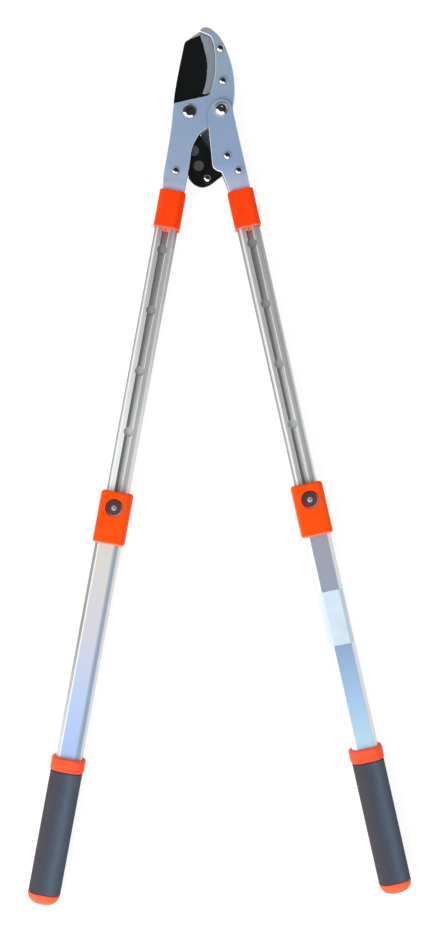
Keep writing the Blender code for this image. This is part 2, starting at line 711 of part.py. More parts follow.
def make_sleeve(side, frame, tube_start):
    bore = tube_section(TUBE_WALL + SLIDE_GAP - GAP)
    bore_half_w, bore_half_t = bore[0][0], bore[2][1]
    room = box_section(
        bore_half_w + SLEEVE_ROOM, -bore_half_t - SLEEVE_ROOM, bore_half_t + SLEEVE_ROOM, SLEEVE_ROOM_CHAMFER)
    full = section_points(
        SLEEVE_HALF_W, SLEEVE_HALF_T, SLEEVE_HALF_T, -SLEEVE_SIDE_HALF, SLEEVE_SIDE_HALF, SLEEVE_FRONT_HALF)
    eased = section_points(
        SLEEVE_HALF_W - SLEEVE_EDGE, SLEEVE_HALF_T - SLEEVE_EDGE, SLEEVE_HALF_T - SLEEVE_EDGE,
        -SLEEVE_SIDE_HALF, SLEEVE_SIDE_HALF, SLEEVE_FRONT_HALF)
    step = tube_start - GAP
    outer = [(0.0, eased), (SLEEVE_EDGE, full), (SLEEVE_LENGTH - SLEEVE_EDGE, full), (SLEEVE_LENGTH, eased)]
    inner = [(0.0, room), (step, room), (step, bore), (SLEEVE_LENGTH, bore)]
    sleeve = add_object(side + "_sleeve", tube_mesh(outer, inner), MATERIALS["orange_plastic"], parent=frame)
    tube_front = TUBE_HALF_T - TUBE_WALL - SLIDE_GAP
    low = tube_front - GROOVE_DEPTH + GAP
    root_high = (bore_half_t + SLEEVE_HALF_T) / 2
    profile = [
        (SLEEVE_LENGTH - KEY_ROOT, low), (SLEEVE_LENGTH + KEY_REACH, low),
        (SLEEVE_LENGTH + KEY_REACH, tube_front), (SLEEVE_LENGTH + GAP, tube_front),
        (SLEEVE_LENGTH - SLEEVE_EDGE, root_high), (SLEEVE_LENGTH - KEY_ROOT, root_high),
    ]
    key_half_w = GROOVE_HALF_W - GAP
    bm = bmesh.new()
    rows = add_skin(bm, [[(x, -depth, z) for depth, z in profile] for x in (-key_half_w, key_half_w)])
    add_cap(bm, [rows[0]], (-1, 0, 0))
    add_cap(bm, [rows[1]], (1, 0, 0))
    key = add_cutter(side + "_key", bm, parent=frame)
    apply_boolean(sleeve, key, "UNION")
    hole = turned_mesh([(KEY_HOLE_R, 0.0), (KEY_HOLE_R, TUBE_HALF_T)], SCREW_SIDES)
    place = (0.0, -(SLEEVE_LENGTH + KEY_REACH / 2))
    apply_boolean(sleeve, add_cutter(side + "_key_hole", hole, place, frame), "DIFFERENCE")


def inner_tube_sections():
    """The inner tube's outline, with its groove, and the U-shaped hollow round the groove's web."""
    outside = tube_section(TUBE_WALL + SLIDE_GAP)
    hollow = tube_section(2 * TUBE_WALL + SLIDE_GAP)
    front = outside[2][1]
    groove_floor = front - GROOVE_DEPTH
    grooved = [
        *outside[:3], (GROOVE_HALF_W, front), (GROOVE_HALF_W, groove_floor), (-GROOVE_HALF_W, groove_floor),
        (-GROOVE_HALF_W, front), *outside[3:],
    ]
    hollow_front = hollow[2][1]
    around_web = [
        *hollow[:3], (WEB_HALF_W, hollow_front), (WEB_HALF_W, web_floor()), (-WEB_HALF_W, web_floor()),
        (-WEB_HALF_W, hollow_front), *hollow[3:],
    ]
    return grooved, around_web


def make_inner_tube(side, frame):
    grooved, around_web = inner_tube_sections()
    outer = [(INNER_TUBE_START, grooved), (INNER_TUBE_END, grooved)]
    inner = [(INNER_TUBE_START, around_web), (INNER_TUBE_END, around_web)]
    tube = add_object(
        side + "_inner_tube", tube_mesh(outer, inner), MATERIALS["bright_aluminium"], parent=frame)
    cutters = bmesh.new()
    floor = web_floor() + POCKET_FLOOR
    for depth in [*POCKET_LIST, COLLAR_START + BUTTON_DOWN]:
        rows = add_skin(cutters, [
            [(x, y, z) for x, y in circle((0.0, -depth), POCKET_R, POCKET_SIDES)]
            for z in (floor, TUBE_HALF_T)
        ])
        cutters.faces.new(rows[0])
        cutters.faces.new(rows[1])
    pockets = add_cutter(side + "_pockets", cutters, parent=frame)
    apply_boolean(tube, pockets, "DIFFERENCE")


def make_guide_bush(side, frame):
    low, high = tang_heights()
    plug = box_section(TANG_HALF_W, low, high)
    flange = tube_section(TUBE_WALL + GAP)
    face = INNER_TUBE_END + GAP
    stations = [
        (INNER_TUBE_END - BUSH_PLUG, plug), (face, plug), (face, flange), (face + BUSH_FLANGE, flange),
    ]
    add_object(side + "_guide_bush", rod_mesh(stations), MATERIALS["black_plastic"], parent=frame)


def collar_section(inset):
    return rounded_section(
        COLLAR_HALF_W - inset, COLLAR_FRONT - inset, COLLAR_BACK - inset, COLLAR_CORNER_R - inset)


def make_collar(side, frame):
    guide = tube_section(TUBE_WALL + SLIDE_GAP - GAP)
    socket = tube_section(-GAP)
    end = COLLAR_START + COLLAR_LENGTH
    step = COLLAR_START + COLLAR_GUIDE
    eased = 1 - math.sqrt(0.5)
    edge = ((0, 1), (eased, eased), (1, 0))
    top = [(COLLAR_START + COLLAR_TOP_EDGE_R * u, COLLAR_TOP_EDGE_R * v) for u, v in edge]
    foot = [(end - COLLAR_END_EDGE_R * u, COLLAR_END_EDGE_R * v) for u, v in reversed(edge)]
    outer = [(depth, collar_section(inset)) for depth, inset in top + foot]
    inner = [(COLLAR_START, guide), (step, guide), (step, socket), (end, socket)]
    collar = add_object(
        side + "_lock_collar", tube_mesh(outer, inner), MATERIALS["orange_plastic"], parent=frame)
    place = (0.0, -(COLLAR_START + BUTTON_DOWN))
    floor = recess_floor()
    rings = [
        (STEM_R + GAP, 0.0), (STEM_R + GAP, floor), (RECESS_R, floor), (RECESS_R, COLLAR_FRONT + CUT_MARGIN),
    ]
    button_well = add_cutter(side + "_button_well", turned_mesh(rings, BUTTON_SIDES), place, frame)
    apply_boolean(collar, button_well, "DIFFERENCE")


def recess_floor():
    return TUBE_HALF_T - TUBE_WALL - SLIDE_GAP + GAP + RECESS_FLOOR


def button_levels():
    """Heights of the button's rim, dish, roof and stem end above the middle plane."""
    rim_top = COLLAR_FRONT - BUTTON_RECESS
    dish = rim_top - BUTTON_DISH
    roof = dish - BUTTON_WEB
    groove_floor = TUBE_HALF_T - TUBE_WALL - SLIDE_GAP - GROOVE_DEPTH
    return rim_top, dish, roof, groove_floor + STEM_CLEAR


def make_button(side, frame):
    rim_top, dish, roof, stem_end = button_levels()
    place = (0.0, -(COLLAR_START + BUTTON_DOWN))
    shank_room = BUTTON_SCREW_SHANK_R + GAP
    hole_end = dish - BUTTON_SCREW_LENGTH - GAP
    rim_inner = BUTTON_R - BUTTON_RIM_W
    rim_low = recess_floor() + BUTTON_TRAVEL + 2 * GAP
    rings = [
        (STEM_R - SECTION_CHAMFER, stem_end), (STEM_R, stem_end + SECTION_CHAMFER), (STEM_R, roof),
        (rim_inner, roof), (rim_inner, rim_low), (BUTTON_R, rim_low),
        (BUTTON_R, rim_top - SECTION_CHAMFER / 2), (BUTTON_R - SECTION_CHAMFER / 2, rim_top),
        (rim_inner, rim_top), (BUTTON_SCREW_HEAD_R * 1.6, dish), (shank_room, dish), (shank_room, hole_end),
    ]
    add_object(
        side + "_lock_button", turned_mesh(rings, BUTTON_SIDES), MATERIALS["button_plastic"], place, frame)
    seat = dish + GAP
    rings = [
        (BUTTON_SCREW_SHANK_R, dish - BUTTON_SCREW_LENGTH), (BUTTON_SCREW_SHANK_R, seat),
        (BUTTON_SCREW_HEAD_R, seat), (BUTTON_SCREW_HEAD_R, seat + BUTTON_SCREW_HEAD_H / 2),
        (BUTTON_SCREW_HEAD_R * 0.75, seat + BUTTON_SCREW_HEAD_H),
        (BUTTON_SOCKET_HALF_FLATS, seat + BUTTON_SCREW_HEAD_H, "hex"),
        (BUTTON_SOCKET_HALF_FLATS, seat + BUTTON_SCREW_HEAD_H - BUTTON_SOCKET_DEPTH, "hex"),
    ]
    add_object(side + "_button_screw", turned_mesh(rings, SCREW_SIDES), MATERIALS["chrome"], place, frame)
    make_spring(side, frame, place, recess_floor(), roof)


def spring_path(low, high):
    """Centre line of the conical coil, from its wide foot to its narrow top."""
    start = low + GAP + SPRING_WIRE / 2
    end = high - GAP - SPRING_WIRE / 2
    count = int(SPRING_TURNS * SPRING_POINTS)
    points = []
    for i in range(count + 1):
        u = i / count
        angle = 2 * math.pi * SPRING_TURNS * u
        radius = SPRING_BASE_R + (SPRING_TOP_R - SPRING_BASE_R) * u
        points.append((radius * math.cos(angle), radius * math.sin(angle), start + (end - start) * u))
    return points


def least_gap(points):
    """Smallest clear distance between one turn of the coil and the next."""
    gaps = []
    for i, p in enumerate(points):
        for q in points[i + SPRING_POINTS - 2:]:
            gaps.append(math.dist(p, q) - SPRING_WIRE)
    return min(gaps)


def make_spring(side, frame, place, low, high):
    points = spring_path(low, high)
    print(side, "button spring, least gap between turns in mm:", round(least_gap(points) * 1000, 2))
    curve = bpy.data.curves.new(side + "_button_spring", "CURVE")
    curve.dimensions = "3D"
    curve.bevel_depth = SPRING_WIRE / 2
    curve.bevel_resolution = 1
    curve.use_fill_caps = True
    spline = curve.splines.new("POLY")
    spline.points.add(len(points) - 1)
    for point, co in zip(spline.points, points):
        point.co = (*co, 1.0)
    curve.materials.append(MATERIALS["spring_steel"])
    thing = bpy.data.objects.new(side + "_button_spring", curve)
    bpy.context.scene.collection.objects.link(thing)
    thing.parent = frame
    thing.location = (place[0], place[1], 0.0)


def outer_tube_span():
    start = COLLAR_START + COLLAR_GUIDE + GAP
    return start, start + OUTER_TUBE_LENGTH


def make_outer_tube(side, frame):
    stations = outer_tube_span()
    outer = [(depth, tube_section(0.0)) for depth in stations]
    inner = [(depth, tube_section(TUBE_WALL)) for depth in stations]
    add_object(side + "_outer_tube", tube_mesh(outer, inner), MATERIALS["satin_aluminium"], parent=frame)


def make_grip(side, frame):
    """The grip reaches just past the tube's end, with the ring above it and the cap below it."""
    seat = tube_section(-GAP)
    end = outer_tube_span()[1] + GRIP_OVERHANG
    start = end - GRIP_LENGTH
    ring_end = start - GAP
    ring_start = ring_end - RING_LENGTH
    ring = [
        (ring_start, oval_section(RING_HALF_W, RING_HALF_T, RING_EDGE)),
        (ring_start + RING_EDGE, oval_section(RING_HALF_W, RING_HALF_T)),
        (ring_end - RING_EDGE, oval_section(RING_HALF_W, RING_HALF_T)),
        (ring_end, oval_section(RING_HALF_W, RING_HALF_T, RING_EDGE / 2)),
    ]
    add_object(
        side + "_grip_ring", tube_mesh(ring, [(ring_start, seat), (ring_end, seat)]),
        MATERIALS["orange_plastic"], parent=frame)
    grip = [
        (start, oval_section(GRIP_HALF_W, GRIP_HALF_T, GRIP_EDGE)),
        (start + GRIP_EDGE, oval_section(GRIP_HALF_W, GRIP_HALF_T)),
        (end - GRIP_EDGE, oval_section(GRIP_HALF_W, GRIP_HALF_T)),
        (end, oval_section(GRIP_HALF_W, GRIP_HALF_T, GRIP_EDGE)),
    ]
    add_object(
        side + "_grip", tube_mesh(grip, [(start, seat), (end, seat)]), MATERIALS["grip_foam"], parent=frame)
    make_end_cap(side, frame, end + GAP)


def make_end_cap(side, frame, start):
    """A domed cap with a plug that fills the outer tube's end."""
    bm = bmesh.new()
    plug_section = tube_section(TUBE_WALL + GAP)
    base = max(start, outer_tube_span()[1] + GAP)
    plug = add_skin(bm, [at_depth(plug_section, base - CAP_PLUG), at_depth(plug_section, base)])
    dome = []
    for angle in (0.0, 12.0, 32.0, 52.0, 70.0):
        spread = math.cos(math.radians(angle)) ** 0.6
        depth = base + CAP_LENGTH * math.sin(math.radians(angle)) / math.sin(math.radians(70.0))
        dome.append(at_depth(oval_section(CAP_HALF_W * spread, CAP_HALF_T * spread), depth))
    rows = add_skin(bm, dome)
    add_cap(bm, [plug[0]], (0, 1, 0))
    add_cap(bm, [rows[0], plug[1]], (0, 1, 0))
    add_cap(bm, [rows[-1]], (0, -1, 0))
    add_object(side + "_end_cap", bm, MATERIALS["orange_plastic"], parent=frame, smooth_angle=50.0)


def dome_rings(radius, seat, height, start_angle):
    """Rings of a low dome from its rim towards its top."""
    rings = []
    for angle in (start_angle, 25.0, 45.0, 62.0, 76.0):
        a = math.radians(angle)
        rings.append((radius * math.cos(a), seat + height * math.sin(a)))
    return rings


def make_pivot_bolts():
    seat = INNER_TOP + GAP
    end = -(seat + PIVOT_NUT_H + BOLT_END_PROUD)
    rings = [(PIVOT_SHANK_R, end), (PIVOT_SHANK_R, seat)]
    rings += dome_rings(BLADE_BOLT_HEAD_R, seat, BLADE_BOLT_HEAD_H, 0.0)
    add_object("blade_pivot_bolt", turned_mesh(rings, PIVOT_SIDES), MATERIALS["chrome"], BLADE_PIVOT)
    make_nut(
        "blade_pivot_nut", BLADE_PIVOT, -seat, PIVOT_NUT_HALF_FLATS, PIVOT_NUT_H, PIVOT_SHANK_R, PIVOT_SIDES)

    seat = OUTER_TOP + GAP
    shoulder = seat + MAIN_BOLT_FLANGE_H
    crown = shoulder + MAIN_BOLT_HEAD_H * math.sin(math.radians(76.0))
    rings = [(PIVOT_SHANK_R, -MIDDLE_Z), (PIVOT_SHANK_R, seat), (MAIN_BOLT_FLANGE_R, seat)]
    rings += [(MAIN_BOLT_FLANGE_R, shoulder)]
    rings += dome_rings(MAIN_BOLT_HEAD_R, shoulder, MAIN_BOLT_HEAD_H, 0.0)
    rings += [(MAIN_BOLT_DIMPLE_R, crown), (MAIN_BOLT_DIMPLE_R / 2, crown - MAIN_BOLT_DIMPLE_DEPTH)]
    add_object("main_pivot_bolt", turned_mesh(rings, PIVOT_SIDES), MATERIALS["chrome"])
    washer_low = -(seat + WASHER_H)
    rings = [
        (PIVOT_SHANK_R + GAP, washer_low), (WASHER_R, washer_low), (WASHER_R, -seat),
        (PIVOT_SHANK_R + GAP, -seat),
    ]
    add_object("main_pivot_washer", turned_mesh(rings, PIVOT_SIDES, hollow=True), MATERIALS["zinc"])
    make_nut(
        "main_pivot_nut", (0, 0), washer_low - GAP, PIVOT_NUT_HALF_FLATS, PIVOT_NUT_H, PIVOT_SHANK_R,
        PIVOT_SIDES)
    make_spacer("main_pivot_spacer", (0.0, 0.0), PIVOT_SHANK_R, PIVOT_SPACER_R)


def make_spacer(name, place, shank_r, outer_r):
    half = BLADE_THICK / 2
    bore = shank_r + GAP
    rings = [(bore, -half), (outer_r, -half), (outer_r, half), (bore, half)]
    add_object(name, turned_mesh(rings, PIVOT_SIDES, hollow=True), MATERIALS["zinc"], place)


def make_nut(name, place, seat, half_flats, height, shank_r, sides):
    """A hexagon nut hanging below its seat on the back of a plate, its corners eased."""
    bore = shank_r + GAP
    low = seat - height
    ease = height / 6
    rings = [
        (bore, low), (half_flats * 0.96, low), (half_flats, low + ease, "hex"), (half_flats, seat, "hex"),
        (bore, seat),
    ]
    add_object(name, turned_mesh(rings, sides, hollow=True), MATERIALS["zinc"], place)


def make_screw(name, place, seat):
    """A round-headed socket screw whose head sits on the front and whose nut sits on the back."""
    end = -(seat + SMALL_NUT_H + BOLT_END_PROUD)
    top = seat + SCREW_HEAD_H
    rings = [
        (SCREW_SHANK_R, end), (SCREW_SHANK_R, seat), (SCREW_HEAD_R, seat), (SCREW_HEAD_R, seat + SCREW_RIM_H),
        (SCREW_HEAD_R * 0.88, seat + SCREW_HEAD_H * 0.62), (SCREW_HEAD_R * 0.62, top),
        (SOCKET_HALF_FLATS, top, "hex"), (SOCKET_HALF_FLATS, top - SOCKET_DEPTH, "hex"),
    ]
    add_object(name + "_screw", turned_mesh(rings, SCREW_SIDES), MATERIALS["chrome"], place)
    nut_name = name + "_nut"
    make_nut(nut_name, place, -seat, SMALL_NUT_HALF_FLATS, SMALL_NUT_H, SCREW_SHANK_R, SCREW_SIDES)


def make_small_screws():
    inner_seat = INNER_TOP + GAP
    outer_seat = OUTER_TOP + GAP
    make_screw("anvil_upper", HOOK_SCREW_UPPER, inner_seat)
    make_screw("anvil_lower", HOOK_SCREW_LOWER, inner_seat)
    make_screw("left_arm", LEFT_ARM_SCREW, inner_seat)
    make_screw("right_arm", RIGHT_ARM_SCREW, outer_seat)
    make_screw("link_pivot", LINK_PIVOT, outer_seat)
    make_screw("link_end", TAIL_PIVOT, inner_seat)
    make_spacer("link_pivot_bush", LINK_PIVOT, SCREW_SHANK_R, BUSH_R)


def make_head():
    make_hook_plates()
    make_anvil()
    make_blade()
    make_glide_pads()
    make_right_arm_plates()
    make_links()
    make_pivot_bolts()
    make_small_screws()
    make_tang(
        "left_tang", LEFT_HANDLE_TOP, LEFT_HANDLE_LEAN, LEFT_TANG_START, LEFT_ARM_SCREW,
        INNER_TUBE_START + LEFT_TUBE_SHIFT, True)
    make_tang(
        "right_tang", RIGHT_HANDLE_TOP, RIGHT_HANDLE_LEAN, RIGHT_TANG_START, RIGHT_ARM_SCREW,
        INNER_TUBE_START + RIGHT_TUBE_SHIFT, False)


def make_handles():
    sides = (
        ("left", LEFT_HANDLE_TOP, LEFT_HANDLE_LEAN, LEFT_TUBE_SHIFT),
        ("right", RIGHT_HANDLE_TOP, RIGHT_HANDLE_LEAN, RIGHT_TUBE_SHIFT),
    )
    for side, top, lean, shift in sides:
        make_sleeve(side, FRAMES[side], INNER_TUBE_START + shift)
        frame = add_frame(side + "_tube_frame", on_handle(top, lean, shift, 0.0), lean)
        make_inner_tube(side, frame)
        make_guide_bush(side, frame)
        make_collar(side, frame)
        make_button(side, frame)
        make_outer_tube(side, frame)
        make_grip(side, frame)


for old in list(bpy.data.objects):
    bpy.data.objects.remove(old, do_unlink=True)

MATERIALS = {
    "plate_paint": make_material("plate_paint", (0.29, 0.38, 0.52), 0.42, 0.35),
    "blade_coat": make_material("blade_coat", (0.008, 0.009, 0.012), 0.38, 0.0),
    "link_black": make_material("link_black", (0.010, 0.010, 0.013), 0.42, 0.0),
    "pad_plastic": make_material("pad_plastic", (0.055, 0.058, 0.062), 0.75, 0.0),
    "anvil_metal": make_material("anvil_metal", (0.50, 0.50, 0.48), 0.40, 0.9),
    "chrome": make_material("chrome", (0.75, 0.75, 0.76), 0.12, 1.0),
    "zinc": make_material("zinc", (0.55, 0.56, 0.58), 0.35, 1.0),
    "tang_steel": make_material("tang_steel", (0.35, 0.36, 0.38), 0.45, 1.0),
    "orange_plastic": make_material("orange_plastic", (1.0, 0.085, 0.004), 0.42, 0.0),
    "bright_aluminium": make_material("bright_aluminium", (0.74, 0.74, 0.72), 0.26, 1.0),
    "satin_aluminium": make_material("satin_aluminium", (0.62, 0.65, 0.72), 0.34, 1.0),
    "black_plastic": make_material("black_plastic", (0.02, 0.02, 0.022), 0.5, 0.0),
    "button_plastic": make_material("button_plastic", (0.045, 0.032, 0.042), 0.4, 0.0),
    "spring_steel": make_material("spring_steel", (0.5, 0.5, 0.52), 0.3, 1.0),
    "grip_foam": make_material("grip_foam", (0.095, 0.108, 0.132), 0.9, 0.0),
    "cutter": make_material("cutter", (0.8, 0.1, 0.1), 0.5, 0.0),
}
FRAMES = {
    "left": add_frame("left_handle_frame", LEFT_HANDLE_TOP, LEFT_HANDLE_LEAN),
    "right": add_frame("right_handle_frame", RIGHT_HANDLE_TOP, RIGHT_HANDLE_LEAN),
}
make_head()
make_handles()
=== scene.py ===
"""Looks of the telescopic lopper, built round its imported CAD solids.

Metres, in the CAD's own frame: the lopper lies on its back with its head towards +Y and its front up,
and the main pivot stands on the origin. In a handle's own frame the pieces lie along -Y. Depths down a
handle are measured from the middle of its sleeve's top edge, and heights from its middle plane.
"""

import math

import bmesh
import bpy
from mathutils import Matrix, Vector


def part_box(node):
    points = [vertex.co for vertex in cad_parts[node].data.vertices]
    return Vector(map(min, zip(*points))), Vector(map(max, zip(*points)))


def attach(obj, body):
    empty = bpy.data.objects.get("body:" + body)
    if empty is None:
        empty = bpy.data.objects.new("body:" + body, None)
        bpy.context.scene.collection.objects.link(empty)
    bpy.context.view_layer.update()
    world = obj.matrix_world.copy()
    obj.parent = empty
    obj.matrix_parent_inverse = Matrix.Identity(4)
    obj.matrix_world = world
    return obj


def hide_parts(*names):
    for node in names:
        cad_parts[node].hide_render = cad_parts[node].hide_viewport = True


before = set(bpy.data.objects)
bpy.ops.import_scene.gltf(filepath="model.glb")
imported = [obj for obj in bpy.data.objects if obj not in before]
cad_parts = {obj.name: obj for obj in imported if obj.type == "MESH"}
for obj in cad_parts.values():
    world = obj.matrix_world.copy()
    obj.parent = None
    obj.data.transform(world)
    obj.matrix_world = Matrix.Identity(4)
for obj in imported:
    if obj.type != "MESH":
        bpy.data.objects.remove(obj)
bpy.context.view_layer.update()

# The view of the photograph, straight down on the lopper's front
VIEW_CENTRE = (-0.0026, -0.4004)
VIEW_HEIGHT = 1.046
VIEW_LENS = 50.0
VIEW_FAR = 20.0
SENSOR = 36.0
FRONT_Z = 0.022

# Studio: the floor, its grey, and the grey and glow that the camera sees there, the softbox, how far
# the bright side lies towards X and Y, how bright the surroundings are away from it and towards it, and
# what shining pieces mirror: a wall on that side, by how far round and how high it reaches, and a
# ceiling, by how bright it is low down and overhead and the heights it darkens between
FLOOR_HALF = 6.0
FLOOR_GREY = 0.86
FLOOR_SEEN = (0.22, 0.85)
SOFTBOX_PLACE = (-1.1, -1.7, 1.5)
SOFTBOX_SIZE = 1.4
SOFTBOX_POWER = 27.0
BRIGHT_SIDE = (-0.42, -0.91)
SURROUNDINGS = (0.64, 1.00)
WALL_STRENGTH = 2.2
WALL_ROUND = (0.35, 0.50)
WALL_TOP = (0.70, 0.60)
CEILING = (0.10, 0.03, 0.15, 0.60)

# Handles: the middle of each sleeve's top edge, how far the handle leans, how much further down than
# the common depths its tubes sit, and the body that carries it
MIDDLE_Z = 0.016
HANDLES = {
    "left": {"top": (-0.0541, -0.0913), "lean": -10.43, "shift": 0.0016, "arm": "head_frame"},
    "right": {"top": (0.0210, -0.0904), "lean": 12.66, "shift": -0.0042, "arm": "right_arm"},
}

# Eased edges, and the room left between a piece and what it sits on
PLATE_EASE = 0.0006
BLADE_EASE = 0.00025
SLEEVE_EASE = 0.0006
TUBE_EASE = 0.00035
COLLAR_EASE = 0.0009
SMALL_EASE = 0.0003
SEAT_ROOM = 0.0003

# Blade: the order of its finishes, the tilts between which a face was ground, the tilt past which the
# coat's edge shows as a bright line, and the corners of the cutting edge and of the tan tip
COAT, BEVEL, TIP, LINE = range(4)
UPRIGHT_TILT = 0.5
FLAT_TILT = 0.9985
LINE_TILT = 0.88
EDGE_CORNER = (-0.020, 0.017)
TAN_CORNER = (-0.0240, 0.0785)

# Glide pads: how far their faces lie below the coat, their rounded rims, and their centre marks
PAD_BELOW = 0.0001
PAD_RIM = (0.0004, 0.0003)
PAD_MARK_R = 0.0018
PAD_MARK_DEEP = 0.00015

# Plates: the order of their finishes (the coat, a painted highlight on eased edges and a painted
# shade), the right arm's hub, painted to its edge above this line, and how far up the normal of a face
# points that counts as facing the front
PAINTED, EDGE_HIGHLIGHT, SHADED = range(3)
HUB_COAT_ABOVE = -0.026
FACING_UP = 0.9

# How the plates' tone changes, with painted shade to the right and a painted reflection near the
# sleeves:
# along X or Y, where it starts, where it is full, the tone and its mode, and then the paler, greyer
# ring round the main pivot's flange, a painted highlight, by its distance from the pivot
PLATE_TONES_AND_LIGHT = (
    # painted shade: darker towards the right, away from the light
    (0, -0.060, 0.020, (0.86, 0.90, 0.96), "MULTIPLY"),
    (1, -0.002, 0.060, (1.0, 1.0, 0.86), "MULTIPLY"),
    # painted reflection: paler and bluer towards the sleeves
    (1, -0.060, -0.090, (0.44, 0.50, 0.68), "MIX"),
    (1, 0.074, 0.090, (1.0, 0.85, 0.84), "MULTIPLY"),
)
RING_HIGHLIGHT_REACH = (0.0102, 0.0096)
RING_HIGHLIGHT_TONE = (0.40, 0.46, 0.53)

# Screws, bolts and nuts, by the names of their trees' inputs, which of them each body carries, the seed
# of their random turns, how far a shank reaches into its head, how much deeper than the socket its
# drilled cone goes, where the flanged dome's flange starts, and the washer's eased edge
SMALL_HEAD = {"Head Radius": 0.0043, "Head Height": 0.0027, "Sides": 40, "Shank Radius": 0.0025,
              "Socket Half Flats": 0.0016, "Socket Depth": 0.0015}
BUTTON_HEAD = {"Head Radius": 0.0030, "Head Height": 0.0010, "Sides": 40, "Shank Radius": 0.0012,
               "Socket Half Flats": 0.0009, "Socket Depth": 0.0006}
PIVOT_HEAD = {"Head Radius": 0.0075, "Head Height": 0.0040, "Sides": 72, "Shank Radius": 0.0040}
SMALL_NUT = {"Half Flats": 0.0040, "Height": 0.0032, "Bore": 0.0025}
PIVOT_NUT = {"Half Flats": 0.0065, "Height": 0.0045, "Bore": 0.0040}
SCREWS = {
    "head_frame": ("anvil_upper_screw", "anvil_lower_screw", "left_arm_screw"),
    "right_arm": ("right_arm_screw", "link_pivot_screw"),
    "link": ("link_end_screw",),
}
NUTS = (
    ("head_small_nuts", "head_frame", SMALL_NUT,
     ("anvil_upper_nut", "anvil_lower_nut", "left_arm_nut")),
    ("head_pivot_nuts", "head_frame", PIVOT_NUT, ("blade_pivot_nut", "main_pivot_nut")),
    ("right_arm_nuts", "right_arm", SMALL_NUT, ("right_arm_nut", "link_pivot_nut")),
    ("link_nut", "link", SMALL_NUT, ("link_end_nut",)),
)
SEED = 4
SHANK_IN_HEAD = 0.3
DRILL_DEEPER = 0.0004
FLANGE_FROM = 0.86
WASHER_EASE = 0.0002

# Tubes: half width and half thickness of the outer one, half widths of its flat faces, how much these
# grow for each measure that the section is moved out, and half widths of the inner one and its groove
TUBE_HALF = (0.0146, 0.0109)
TUBE_FRONT_HALF = 0.0096
TUBE_SIDE_HALF = 0.0046
TUBE_CORNER_SHARE = 0.41
INNER_HALF = 0.0129
GROOVE_HALF = 0.0038

# Where the tubes' tones and their painted light and shade change: down the handle, and by height for
# the groove and its pockets
SLEEVE_REFLECTION_SPAN = (0.064, 0.042)
GROOVE_TURNS = (0.09, 0.27)
RIDGE_HIGHLIGHT_SPAN = (0.09, 0.29)
GROOVE_FLOOR = (0.0084, 0.0052)
POCKET_FLOOR = (0.0044, 0.0032)
OUTER_REFLECTION_SPAN = (0.39, 0.65)
LEFT_FACES_PALE = (0.50, 0.64)

# Grip, ring and cap
RING_START = 0.6442
RING_LENGTH = 0.0151
RING_HALF = (0.0190, 0.0160)
RING_EASE = 0.0022
RING_STEPS = 4
GRIP_START = 0.6596
GRIP_LENGTH = 0.1380
GRIP_HALF = (0.0180, 0.0154)
GRIP_EASE = 0.0014
RIB_PITCH = 0.0028
RIB_DEPTH = 0.00014
RIB_ROWS = 6
RIB_FADE = 0.004
CAP_START = 0.7979
CAP_LENGTH = 0.0136
CAP_HALF = (0.0182, 0.0156)
CAP_LIP = 0.0004
CAP_STEPS = 14
CAP_CROWDING = 0.9
CAP_FULLNESS = 0.78
CAP_LEAST = 0.10
CAP_PLUG = 0.0160
CAP_PLUG_INSET = 0.0017
OVAL_POWER = 2.7
OVAL_SIDES = 72
OVAL_FLAT = 0.0003

# Lock button: its place, where its rim takes a painted highlight, its travel and stem, and its profile
# as (radius, how far below its top)
BUTTON_DOWN = 0.3590
BUTTON_R = 0.0095
BUTTON_RIM_HIGHLIGHT = (0.0079, 0.0088)
BUTTON_TRAVEL = 0.0020
STEM_R = 0.0034
STEM_EASE = 0.0004
BUTTON_PROFILE = (
    (STEM_R, 0.0019), (0.0083, 0.0019), (0.0083, 0.0025), (0.0093, 0.0025), (BUTTON_R, 0.0023),
    (BUTTON_R, 0.0004), (0.0094, 0.0002), (0.0091, 0.0), (0.0084, 0.0), (0.0080, 0.0001),
    (0.0071, 0.0005), (0.0052, 0.0008), (0.0034, 0.0009), (0.0, 0.0009),
)

# Bare label on the right outer tube
LABEL_LIFT = 0.00006
LABEL_THICK = 0.00008
LABEL_HALF_WIDTH = 0.0134
LABEL_START = 0.4636
LABEL_LENGTH = 0.0615
LABEL_CORNER = 0.0014
LABEL_ROWS = 40
LABEL_COLUMNS = 32


# Helpers for meshes


def handle_matrix(side):
    """Places a piece drawn along -Y, front up, on a handle."""
    handle = HANDLES[side]
    place = Matrix.Translation((*handle["top"], MIDDLE_Z))
    turn = Matrix.Rotation(math.radians(handle["lean"]), 4, "Z")
    return place @ turn @ Matrix.Translation((0.0, -handle["shift"], 0.0))


def box_centre(node):
    low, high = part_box(node)
    return (low + high) / 2


def box_half(node):
    low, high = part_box(node)
    return (high - low) / 2


def add_object(name, data):
    thing = bpy.data.objects.new(name, data)
    bpy.context.scene.collection.objects.link(thing)
    return thing


def object_from(bm, name):
    mesh = bpy.data.meshes.new(name)
    bm.to_mesh(mesh)
    bm.free()
    return add_object(name, mesh)


def made_plain(thing):
    """Turns an object's modifiers into a plain mesh on the object."""
    bpy.context.view_layer.update()
    depsgraph = bpy.context.evaluated_depsgraph_get()
    mesh = bpy.data.meshes.new_from_object(thing.evaluated_get(depsgraph))
    thing.modifiers.clear()
    thing.data = mesh


def merged_copy(node):
    """A copy of a CAD node's mesh with its loose triangles joined into flat faces."""
    bm = bmesh.new()
    bm.from_mesh(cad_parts[node].data)
    bmesh.ops.remove_doubles(bm, verts=bm.verts, dist=0.000002)
    bmesh.ops.dissolve_limit(bm, angle_limit=math.radians(0.5), verts=bm.verts, edges=bm.edges)
    for layer in list(bm.loops.layers.uv):
        bm.loops.layers.uv.remove(layer)
    return bm


